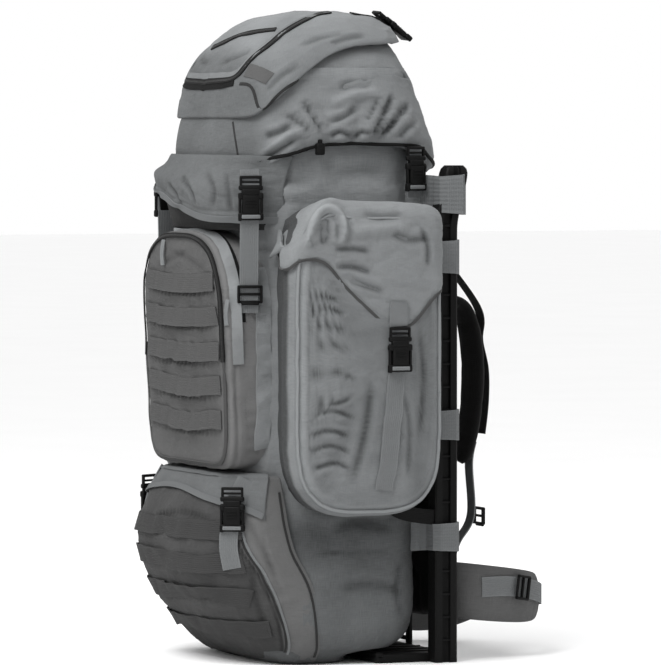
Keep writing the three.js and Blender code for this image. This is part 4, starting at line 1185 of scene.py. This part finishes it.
def pouchPoint(u, v):
    angle = cornerAngle(u)
    face = pouch["wall"] + pouch["reach"]
    if v < 0.34:
        return pouchOutline(angle, 0, blend(pouch["wall"] - 26, face - pouch["round"], v / 0.34))
    if v < 0.48:
        s = (v - 0.34) / 0.14 * math.pi / 2
        return pouchOutline(angle, pouch["round"] * (1 - math.cos(s)),
                            face - pouch["round"] * (1 - math.sin(s)))
    s = (1 - v) / 0.52
    edge = pouchOutline(angle, pouch["round"], face)
    crown = pouch["crown"] * (1 - s * s)
    return (face + crown - 1, edge[1] * s, blend(400, edge[2], s))


def pouchSwellFor(seed):
    def pouchSwell(p, u, v):
        onFace = smooth((v - 0.4) / 0.1)
        frontGather = onFace * smooth((-p.y - 5) / 70) * 3.4 * creases(p, (60, 46, 10), seed, 0.75)
        sweep = onFace * 2.2 * creases((p.x, p.y + 0.35 * p.z, p.z), (60, 90, 26), seed + 3, 0.6)
        piping = 1.8 * hump(v, 0.4, 0.018)
        valley = -2.0 * hump(v, 0.44, 0.03)
        return frontGather + sweep + piping + valley + crumpled(p, seed + 5, 2.4)
    return pouchSwell


flap = {"crown": 6}
flapRows = [  # place along the rim, height of the flap's edge
    (-1.3, 558), (-1.02, 551), (-0.9, 545), (-0.62, 541), (-0.35, 507), (0.0, 472), (0.2, 454), (0.52, 453),
    (0.86, 493), (1.02, 502), (1.3, 506)]


def flapPoint(u, v):
    # s runs along the rim: front wall, face, back wall
    s = blend(-1.42, 1.42, u)
    face = pouch["wall"] + pouch["reach"] + 4
    half = pouch["length"] / 2 + 3
    if abs(s) <= 0.86:
        x, y = face, s / 0.86 * (half - pouch["round"])
    elif abs(s) < 1.1:
        t = (abs(s) - 0.86) / 0.24 * math.pi / 2
        x = face - pouch["round"] * (1 - math.cos(t))
        y = math.copysign(half - pouch["round"] * (1 - math.sin(t)), s)
    else:
        x, y = (blend(face - pouch["round"], pouch["wall"] - 8, (abs(s) - 1.1) / 0.32),
                math.copysign(half, s))
    y *= blend(0.88, 1, smooth((x - pouch["wall"] + 4) / 52))
    edge = trace(flapRows, clamp(s * 0.98, -1.3, 1.3))
    rimZ = trace(topLine, y)
    inner = (pouch["wall"] - 14, y * 0.93, rimZ - 8)
    if v < 0.26:
        t = v / 0.26
        rim = (x - (x - inner[0]) * 0.16, y * 0.95, rimZ + 3)
        x, y, z = (blend(inner[k], rim[k], t) for k in range(3))
        return (x, y, z + 4 * math.sin(math.pi * t * 0.5))
    if v < 0.42:
        t = (v - 0.26) / 0.16 * math.pi / 2
        back = (x - (x - inner[0]) * 0.16, y * 0.95)
        return (blend(back[0], x, math.sin(t)), blend(back[1], y, math.sin(t)),
                rimZ + 7 - 26 * (1 - math.cos(t)))
    t = (v - 0.42) / 0.58
    edge = min(edge, rimZ - 24)
    crown = flap["crown"] * (1 - min(1, abs(s)) ** 2) * math.sin(math.pi * blend(0.1, 0.8, t))
    return (x + (crown if abs(s) < 1 else 0), y, blend(rimZ - 19, edge, t))


def flapSwellFor(seed):
    def flapSwell(p, u, v):
        onFace = smooth((p.x - 225) / 22)
        return (crumpled(p, seed, 3.4) * smooth(v * 4) * (0.4 + 0.6 * onFace)
                + 1.2 * smooth((v - 0.93) / 0.04))
    return flapSwell


def buckleBody():
    # a side-release buckle for 25 mm webbing: socket, two prongs in its windows, tongue and bars
    parts = [
        block((-17, -30, 1.2), (17, -20, 8.4), 2.2, 3),
        block((-11.5, -22, 0.6), (11.5, 4, 9), 2.4, 3),
        block((-17, -2, 1), (-9.5, 7, 8.6), 2.4, 3), block((9.5, -2, 1), (17, 7, 8.6), 2.4, 3),
        block((-16.4, -21, 2.2), (-12.8, 0, 7.2), 1.6, 3), block((12.8, -21, 2.2), (16.4, 0, 7.2), 1.6, 3),
        block((-12, 3, 1), (12, 12, 8.8), 2.2, 3),
        block((-16.4, 10, 1.6), (16.4, 17, 7.8), 2.4, 3),
        block((-15, 16, 2), (-11.6, 29, 6.6), 1.4), block((11.6, 16, 2), (15, 29, 6.6), 1.4),
        block((-15, 25.5, 2), (15, 29.5, 6.8), 1.6, 3), block((-13, 19.5, 1.4), (13, 22.5, 5), 1.2),
        block((-7, -12, 8.4), (7, -10.4, 10), 0.6), block((-7, -8, 8.4), (7, -6.4, 10), 0.6),
        block((-7, -4, 8.4), (7, -2.4, 10), 0.6), block((-17, -31, 1), (-12, -27, 8), 1.6),
    ]
    return joined(parts)


def lockBody():
    # a ladder lock: two bars, a raised lip and its side rails
    parts = [
        block((-17, -12, 0.6), (-13.4, 12, 6), 1.5, 3), block((13.4, -12, 0.6), (17, 12, 6), 1.5, 3),
        block((-15, -12, 0.8), (15, -8.4, 4.6), 1.4, 3), block((-15, -1.8, 0.8), (15, 1.8, 4.4), 1.4, 3),
        block((-15, 8, 1.6), (15, 12, 6.4), 1.5, 3), block((-12, -14.5, 3), (12, -10.5, 6.6), 1.5, 3),
    ]
    return joined(parts)


buckle = buckleBody()
lock = lockBody()
loopModel = block((-12.4, -27.6, 7), (12.4, -22.6, 9.8), 1.1, 3)


def buckleLoop(name, matrix):  # the webbing that turns round the buckle's lower bar
    return finished(copied(loopModel, matrix), f"{name}_loop", bindingPale, (), 40)


def placeBuckle(name, model, node, face, along, scale=1.0, offset=(0, 0, 0)):
    low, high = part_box(node)
    middle = (low + high) / 2 / mm
    base = middle - Vector(face).normalized() * 4.5 + Vector(offset)
    matrix = seated(base, face, along) @ Matrix.Scale(scale, 4)
    piece = copied(model, matrix)
    if model == buckle:
        buckleLoop(name, matrix)
    return finished(piece, name, plastic, [node], 40)


def stitchBox(name, centre, face, along, width, length, on):
    # a sewn box with a cross in it, as a raised line of thread
    face, along = Vector(face).normalized(), Vector(along).normalized()
    side = along.cross(face)
    corners = [(-1, -1), (1, -1), (1, 1), (-1, 1), (-1, -1), (1, 1), (1, -1), (-1, 1)]
    points = [Vector(centre) + side * (a * width / 2) + along * (b * length / 2) for a, b in corners]
    dense = [points[i].lerp(points[i + 1], k / 6)
             for i in range(len(points) - 1) for k in range(6)] + [points[-1]]
    return tube(name, dense, 0.55, binding, on, 1.2, rings=5, step=3)


# the rounded edge of the face paler as wear; the walls darker as painted shade; darker towards the rear and
# low down
def pouchWearAndPaintedShade(p, u, v):
    edge = 0.5 * hump(v, 0.44, 0.04) - 1.1 * smooth((0.36 - v) / 0.06)
    return edge - 0.28 * smooth((p.y - 46) / 26) - 0.3 * smooth((262 - p.z) / 50)


# the flap a little paler all over, and paler on top as painted light from above
def flapToneAndPaintedTopLight(p, u, v):
    return 0.22 + 0.2 * smooth((p.z - 590) / 20)


pouchStrapLine = [  # Y and height
    (38, 430), (38, 400), (34, 360), (31, 330), (26, 290), (22, 260), (19, 236)]
pouchFolds = [
    (3, 3.2, [(306, 300), (322, 296), (340, 301)]), (3.2, 3.2, [(307, 314), (325, 308), (346, 315)]),
    (3.2, 3.2, [(308, 330), (325, 325), (347, 332)]), (2.8, 3.2, [(306, 350), (330, 344), (352, 352)]),
    (3.2, 3.2, [(306, 378), (330, 371), (358, 380)]), (2.8, 3.2, [(310, 400), (335, 404), (353, 397)]),
    (3.4, 3.2, [(308, 418), (332, 411), (356, 419)]), (3.2, 3.2, [(308, 436), (330, 431), (350, 437)]),
    (3, 3.2, [(310, 452), (330, 446), (352, 453)]), (3, 3.2, [(312, 470), (335, 463), (352, 471)]),
    (3, 6, [(372, 380), (366, 430), (352, 486)]), (2.4, 5, [(420, 330), (424, 380), (420, 440)]),
    (2, 4, [(404, 390), (410, 430), (408, 480)])]
flapFolds = [
    (-6.5, 4.5, [(308, 252), (310, 234), (316, 217), (326, 208), (337, 211), (344, 222), (344, 236),
                 (338, 248)]),
    (8, 6, [(327, 218), (326, 230), (325, 246)]), (4, 4, [(334, 250), (350, 249), (372, 252)]),
    (4.5, 4, [(336, 268), (352, 267), (372, 273)]), (3.5, 4, [(350, 280), (366, 286), (384, 292)]),
    (3, 5, [(392, 232), (410, 240), (430, 238)]), (3, 4, [(420, 226), (428, 244), (428, 268)]),
    (2.6, 5, [(362, 212), (380, 218), (404, 214)]), (-3, 6, [(350, 230), (380, 228), (412, 226)])]
for name, side in sides:
    seed = 11.0 if side > 0 else 17.3
    body = skin(180, 92, pouchPoint, pouchSwellFor(seed), (960, 300), 0, pouchWearAndPaintedShade)
    carve(outwards(body, (190, 0, 400)), pouchFolds, False, 0.8)
    thicken(body)
    finished(onSide(body, side), f"side_pouch_cloth_{name}", cloth, [f"side_pouch_{name}"])
    pouchTree = surfaceTree(body)
    cover = skin(170, 90, flapPoint, flapSwellFor(seed + 4), (520, 260), 0, flapToneAndPaintedTopLight)
    carve(outwards(cover, (190, 0, 540)), flapFolds, False, 0.7)
    thicken(cover)
    finished(onSide(cover, side), f"pouch_flap_cloth_{name}", cloth, [f"side_pouch_flap_{name}"])
    coverTree = surfaceTree(cover)
    edge = [Vector(flapPoint(blend(0.02, 0.98, i / 90), 0.985)) for i in range(91)]
    edge = [Vector((p.x * side, p.y, p.z)) for p in edge]
    # the binding in dark webbing, darkened as painted shadow under the flap's edge
    strap(f"pouch_flap_binding_shaded_{name}", edge, 4, 1.6, on=coverTree, lift=0.1, material=webbingDark)
    pipeX = pouch["wall"] + pouch["reach"] + 5
    pipe = [Vector(pouchOutline(turn * (0.02 + i / 120), 4, pipeX)) for i in range(121)]
    tube(f"pouch_piping_{name}", [Vector((p.x * side, p.y, p.z)) for p in pipe], 2.4, bindingPale,
         pouchTree, 1.2)
    line = [(285 * side, y, z) for y, z in pouchStrapLine]
    strap(f"pouch_strap_webbing_{name}", line, 25, 1.8, on=pouchTree, lift=0.6,
          replaced=[f"pouch_strap_{name}"])
    strap(f"pouch_flap_tab_{name}", [(290 * side, 38, 488), (290 * side, 38, 470), (290 * side, 38, 456)],
          25, 2.4, on=coverTree, lift=0.6, material=cloth)
    placeBuckle(f"pouch_side_buckle_{name}", buckle, f"pouch_buckle_{name}", (side, 0, 0), (0, 0, 1),
                offset=(side * 4, 0, 0))
    stitchBox(f"pouch_strap_stitches_{name}", (285 * side, 20, 246), (side, 0, 0), (0, 0, 1), 19, 14,
              pouchTree)
print("side pouches")

# straps of lid, bottom flap and crown
for name, side in sides:
    y = -132.5
    line = [(157 * side, y, 664), (160 * side, y, 640), (158 * side, y, 600),
            (156 * side, y, 560), (155 * side, y, 500), (155 * side, y, 473)]
    strap(f"front_lid_webbing_{name}", line, 25, 1.8, facing=(side, -0.25, 0), lift=1.5,
          replaced=[f"front_lid_strap_{name}"])
    placeBuckle(f"front_lid_side_buckle_{name}", buckle, f"front_lid_buckle_{name}", (side, -0.25, 0),
                (0, 0, 1), offset=(side * 3.5, 0, 0))
    placeBuckle(f"front_ladder_lock_{name}", lock, f"front_strap_lock_{name}", (side, -0.25, 0), (0, 0, 1),
                offset=(side * 2.5, 0, 0))
    line = [(136 * side, 104, 742), (150 * side, 104, 712), (158 * side, 104, 690), (161 * side, 104, 660),
            (159 * side, 104, 626)]
    strap(f"rear_lid_webbing_{name}", line, 25, 1.8, facing=(side, 0.3, 0), lift=1.5,
          replaced=[f"rear_lid_strap_{name}"])
    placeBuckle(f"rear_lid_side_buckle_{name}", buckle, f"rear_lid_buckle_{name}", (side, 0.3, 0),
                (0, 0, 1), offset=(side * 3, 0, 0))
    faceOut = Vector((0.85 * side, -0.53, 0))
    line = [Vector(bottomPoint(0.5 + side * bottom["strapShare"], z / bottom["top"], 6))
            for z in (250, 236, 215, 190, 160, 132)]
    strap(f"bottom_flap_webbing_{name}", line, 25, 1.8, facing=faceOut, lift=0.5,
          replaced=[f"bottom_flap_strap_{name}"])
    seat = Vector(bottomPoint(0.5 + side * bottom["strapShare"], 212 / bottom["top"], 8.5))
    catch = copied(buckle, seated(seat, faceOut, (0, 0, 1)))
    buckleLoop(f"bottom_side_buckle_{name}", seated(seat, faceOut, (0, 0, 1)))
    finished(catch, f"bottom_side_buckle_{name}", plastic, [f"bottom_flap_buckle_{name}"], 40)
compressionLine = [(176, 60, 214), (181, 74, 205), (181, 92, 200), (180, 112, 197), (182, 124, 196)]
for name, side in sides:
    line = [Vector((x * side, y, z)) for x, y, z in compressionLine]
    strap(f"compression_webbing_{name}", line, 20, 2, facing=(side, 0, 0), lift=1, material=webbingBlack)
crownLine = []
for i in range(16):
    hit, _, _, _ = pocketTree.ray_cast(Vector((50, blend(60, 148, i / 15), 1000)) * mm, Vector((0, 0, -1)))
    if hit:
        crownLine.append(hit / mm)
strap("crown_webbing", crownLine, 25, 1.8, on=pocketTree, lift=0.5, material=webbingBlack,
      replaced=["crown_strap"])
crownMiddle, crownFacing, _, _ = pocketTree.find_nearest(Vector((50, 112, 853)) * mm)
crownDown = Vector((0, crownFacing.z, -crownFacing.y)).normalized()
crownBuckle = copied(buckle, seated(crownMiddle / mm + crownFacing * 2.5, crownFacing, -crownDown))
finished(crownBuckle, "crown_buckle", plastic, (), 40)
print("straps and buckles")

# moulded frame
stile = {"centre": 175, "front": 124, "depth": 32, "width": 28, "height": 669, "lean": 16, "leanStart": 580}
stileOutline = [  # outline of one stile: outwards and back, as shares of its half sizes
    (1, -0.86), (1, -0.36), (0.66, -0.3), (0.6, -0.2), (0.6, 0.2), (0.66, 0.3), (1, 0.36), (1, 0.86),
    (0.86, 1), (-0.86, 1), (-1, 0.86), (-1, -0.86), (-0.86, -1), (0.86, -1)]


def leanAt(z):
    return stile["lean"] * smooth((z - stile["leanStart"]) / (stile["height"] - stile["leanStart"]))


def stilePoint(u, v):
    spot = (u % 1) * len(stileOutline)
    i = int(spot) % len(stileOutline)
    a, b = stileOutline[i], stileOutline[(i + 1) % len(stileOutline)]
    s = spot - int(spot)
    x, y = blend(a[0], b[0], s), blend(a[1], b[1], s)
    z = clamp((v - 0.01) / 0.98) * stile["height"]
    fade = 1.0
    if z > stile["height"] - 14:
        fade = math.sqrt(max(0.02, 1 - ((z - stile["height"] + 14) / 14) ** 2)) * 0.4 + 0.6
    if v < 0.005 or v > 0.995:
        fade = 0
    return (stile["centre"] + x * stile["width"] / 2 * fade,
            stile["front"] + stile["depth"] / 2 + leanAt(z) + y * stile["depth"] / 2 * fade, z)


frameParts = []
stilePiece = skin(84, 120, stilePoint, size=(120, stile["height"]))
evenNormals(stilePiece)
webs = [stilePiece]
for z in range(30, 650, 31):  # cross webs between the two ribs of a stile
    y = stile["front"] + stile["depth"] / 2 + leanAt(z)
    webs.append(block((181, y - 6, z - 1.5), (187.5, y + 6, z + 1.5), 0.6))
stilePiece = joined(webs)
frameParts += [stilePiece, copied(stilePiece, mirror, True)]
crossLevels = [225, 370, 480, 585]
for level in crossLevels:
    back = 156 + leanAt(level)
    for low, high in ((level + 7, level + 13), (level - 13, level - 7)):
        frameParts.append(block((-168, back - 14, low), (168, back, high), 2, 3))
    frameParts.append(block((-166, back - 9, level - 9), (166, back - 4, level + 9), 1))
    for k in range(-7, 8):
        if abs(k) > 2:
            frameParts.append(block((k * 21 - 1.6, back - 14, level - 9),
                                    (k * 21 + 1.6, back - 0.5, level + 9), 0.7))
for side in (-1, 1):
    frameParts.append(block((side * 36 - 6, 146, 8), (side * 36 + 6, 152.6, 588), 2.2, 3))
for z in range(20, 585, 29):
    frameParts.append(block((-32, 146.6, z - 3), (32, 151.6, z + 3), 1.6))
frameParts.append(block((-168, 46, 0), (168, 156, 12), 4, 3))
for side in (-1, 1):
    for k in range(4):
        frameParts.append(block((side * (40 + k * 34) - 2, 52, 10), (side * (40 + k * 34) + 2, 150, 14),
                                1.4))
frameParts.append(block((-168, 46, 4), (168, 58, 14), 3, 3))
mouldedFrame = joined(frameParts)
finished(mouldedFrame, "moulded_frame", framePlastic, ["frame"], 35)
print("frame", len(mouldedFrame.data.polygons))

# cloth tabs that lash the bag to the stiles
tabRows = {"top": (604, 656), "upper": (524, 568), "middle": (300, 340), "lower": (150, 188)}
for tab, (low, high) in tabRows.items():
    for name, side in sides:
        z = (low + high) / 2
        back = leanAt(z)
        loop = [(150, 96), (157.5, 110), (157.6, 130), (157.6, 152), (164, 158.6), (186, 158.6),
                (192.4, 152), (192.4, 130), (187, 121.5), (165, 121), (156, 112), (150, 100)]
        path = [Vector((x * side, y + (back if y > 115 else 0), z)) for x, y in loop]
        height = high - low

        def tabPlace(u, v, path=path, z=z, height=height):
            spot = u * (len(path) - 1)
            i = min(int(spot), len(path) - 2)
            p = path[i].lerp(path[i + 1], spot - i)
            return (p.x, p.y, z + (v - 0.5) * height * (1 - 0.06 * math.sin(spot)))

        piece = skin(66, 10, tabPlace, lambda p, u, v: 0, (150, 1))
        applied(piece, "SOLIDIFY", thickness=1.8 * mm, offset=0)
        evenNormals(piece)
        finished(piece, f"frame_lashing_{tab}_{name}", webbing, [f"frame_tab_{tab}_{name}"], 40)
print("lashings")

# harness pads
def padPiece(name, place, cols, rows, size, node, material=None):
    piece = skin(cols, rows, place, size=size)
    evenNormals(piece)
    finished(piece, name, material or padMesh, [node])
    return piece


def backPad(name, node, channels):
    low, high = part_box(node)
    low, high = low / mm, high / mm
    middle, half = (low + high) / 2, (high - low) / 2

    def place(u, v):
        angle, reach = turn * u, abs(v * 2 - 1)
        front = v < 0.5
        s = 1 - reach
        x, z = boxShares(angle, 4)
        body = math.sqrt(max(0.0, 1 - (1 - s) ** 6)) if s < 1 else 1
        grooves = sum(hump(x * (1 - s if s < 0.5 else 0.5), g, 0.06) for g in channels)
        thick = half.y * body * (1 if not front else 0.9) - 1.6 * grooves
        sharex, sharez = x * (1 - s), z * (1 - s)
        narrow = 1 - 0.12 * smooth(abs(sharez))
        return (middle.x + sharex * half.x * narrow, middle.y + thick * (-1 if front else 1),
                middle.z + sharez * half.z)

    return padPiece(name, place, 96, 48, (half.x * 4, half.z * 2), node)


def padAlong(name, node, points, across, width, thickness, widthAt, cols=84, rows=28, side=1,
             material=None):
    path, length = resampled(points, cols)
    across = Vector(across).normalized()
    frames = []
    for i, p in enumerate(path):
        along = alongAt(path, i)
        wide = (across - along * across.dot(along)).normalized()
        frames.append((p, wide, wide.cross(along)))

    def place(u, v):
        i = min(int(round(u * cols)), cols)
        p, wide, out = frames[i]
        end = math.sqrt(max(0, 1 - (2 * abs(u - 0.5)) ** 14))
        x, y = boxShares(turn * v, 2.6)
        crown = 1 + 0.16 * math.cos(turn * v * 2)
        quilt = 1 - 0.12 * abs(math.sin(u * math.pi * 5)) ** 12
        breadth = x * width / 2 * widthAt(u) * max(end, 0.02)
        height = y * thickness / 2 * end * quilt / crown * 1.05
        spot = p + wide * breadth + out * height
        return Vector((spot.x * side, spot.y, spot.z))

    return padPiece(name, place, cols, rows, (length, width * 2), node, material)


backPad("yoke_foam_pad", "yoke_pad", (-0.5, 0.5))
backPad("lumbar_foam_pad", "lumbar_pad", (-0.45, 0, 0.45))
shoulderRows = [(0, 0.19), (0.05, 0.055), (0.36, 0), (0.72, 0.055), (0.95, 0.21), (1, 0.44), (0.86, 0.69),
                (0.63, 0.9), (0.5, 1)]
hipRows = [(0.93, 0.04), (1.02, 0.2), (1, 0.45), (0.88, 0.7), (0.66, 0.88), (0.42, 0.97)]
for name, side in sides:
    line = [Vector((85 + down * 20, 178.3 + out * 41, 482 - down * 220)) for out, down in shoulderRows]
    padAlong(f"shoulder_strap_pad_{name}", f"shoulder_pad_{name}", line, (1, 0, 0), 66, 15,
             lambda u: blend(0.62, 1, math.sin(math.pi * blend(0.12, 0.9, u))), side=side)
    lift, sag = (19, 0) if side > 0 else (13.7, 34.2)
    line = [Vector((119.6, 163.8, 76 + lift))] + [
        Vector((x * 158, 163.8 + y * 160, 76 + lift * (1 - y) - sag * math.sin(math.pi * y))) for x,
        y in hipRows]
    padAlong(f"hip_belt_pad_{name}", f"hip_pad_{name}", line, (0, 0, 1), 76, 14,
             lambda u: blend(1, 0.72, u ** 3), side=side, material=clothDark)
    belt = [Vector(((x * 158 + 9) * side, 163.8 + y * 160 + 3 + 5 * y,
                    76 + lift * (1 - y) - sag * math.sin(math.pi * y) + 12 * math.sin(math.pi * y)))
            for x, y in hipRows[1:]] + [Vector((38 * side, 333, 76))]
    beltPath, beltLength = resampled(belt, 50)

    def beltPlace(u, v, path=beltPath):
        i = min(int(round(u * 50)), 50)
        along = alongAt(path, i)
        up = Vector((0, 0, 1))
        up = (up - along * up.dot(along)).normalized()
        return path[i] + up * (v - 0.5) * 27

    piece = skin(50, 8, beltPlace, size=(beltLength, 1))
    applied(piece, "SOLIDIFY", thickness=1.8 * mm, offset=0)
    evenNormals(piece)
    finished(piece, f"belt_strap_{name}", webbing, [f"belt_webbing_{name}"], 40)
    glideAt, glideAlong = beltPath[15], (beltPath[17] - beltPath[13]).normalized()
    glideFace = glideAlong.cross(Vector((0, 0, -1 if side > 0 else 1))).normalized()
    if glideFace.x * side < 0:
        glideFace = -glideFace
    glide = copied(lock, seated(glideAt + glideFace * 1.2, glideFace, glideAlong))
    finished(glide, f"belt_tri_glide_{name}", plastic, (), 40)
    lifter = [(89.8, 158, 592), (89.8, 158, 566), (89.8, 226, 476), (89.8, 229.5, 430), (89.8, 238, 390),
              (89.8, 238, 345), (89.8, 233, 302)]
    strap(f"load_lifter_webbing_{name}", [(x * side, y, z) for x, y, z in lifter], 25, 1.6,
          facing=(0, 1, 0.25), material=webbingBlack, replaced=[f"load_lifter_{name}"])
    lower = [(104, 214, 292), (105, 208, 262), (105, 211, 192), (105, 190, 156), (105, 182, 131),
             (105, 182, 112)]
    strap(f"lower_webbing_{name}", [(x * side, y, z) for x, y, z in lower], 25, 1.6, facing=(0, 1, 0),
          replaced=[f"lower_strap_{name}"])
    placeBuckle(f"lower_ladder_lock_{name}", lock, f"lower_strap_lock_{name}", (0, 1, 0), (0, 0, 1),
                offset=(0, 1.5, 0))
placeBuckle("belt_side_release_buckle", buckle, "belt_buckle", (0, 1, 0), (1, 0, 0), scale=1.27)
for model in (buckle, lock, loopModel):
    bpy.data.objects.remove(model)
print("harness")
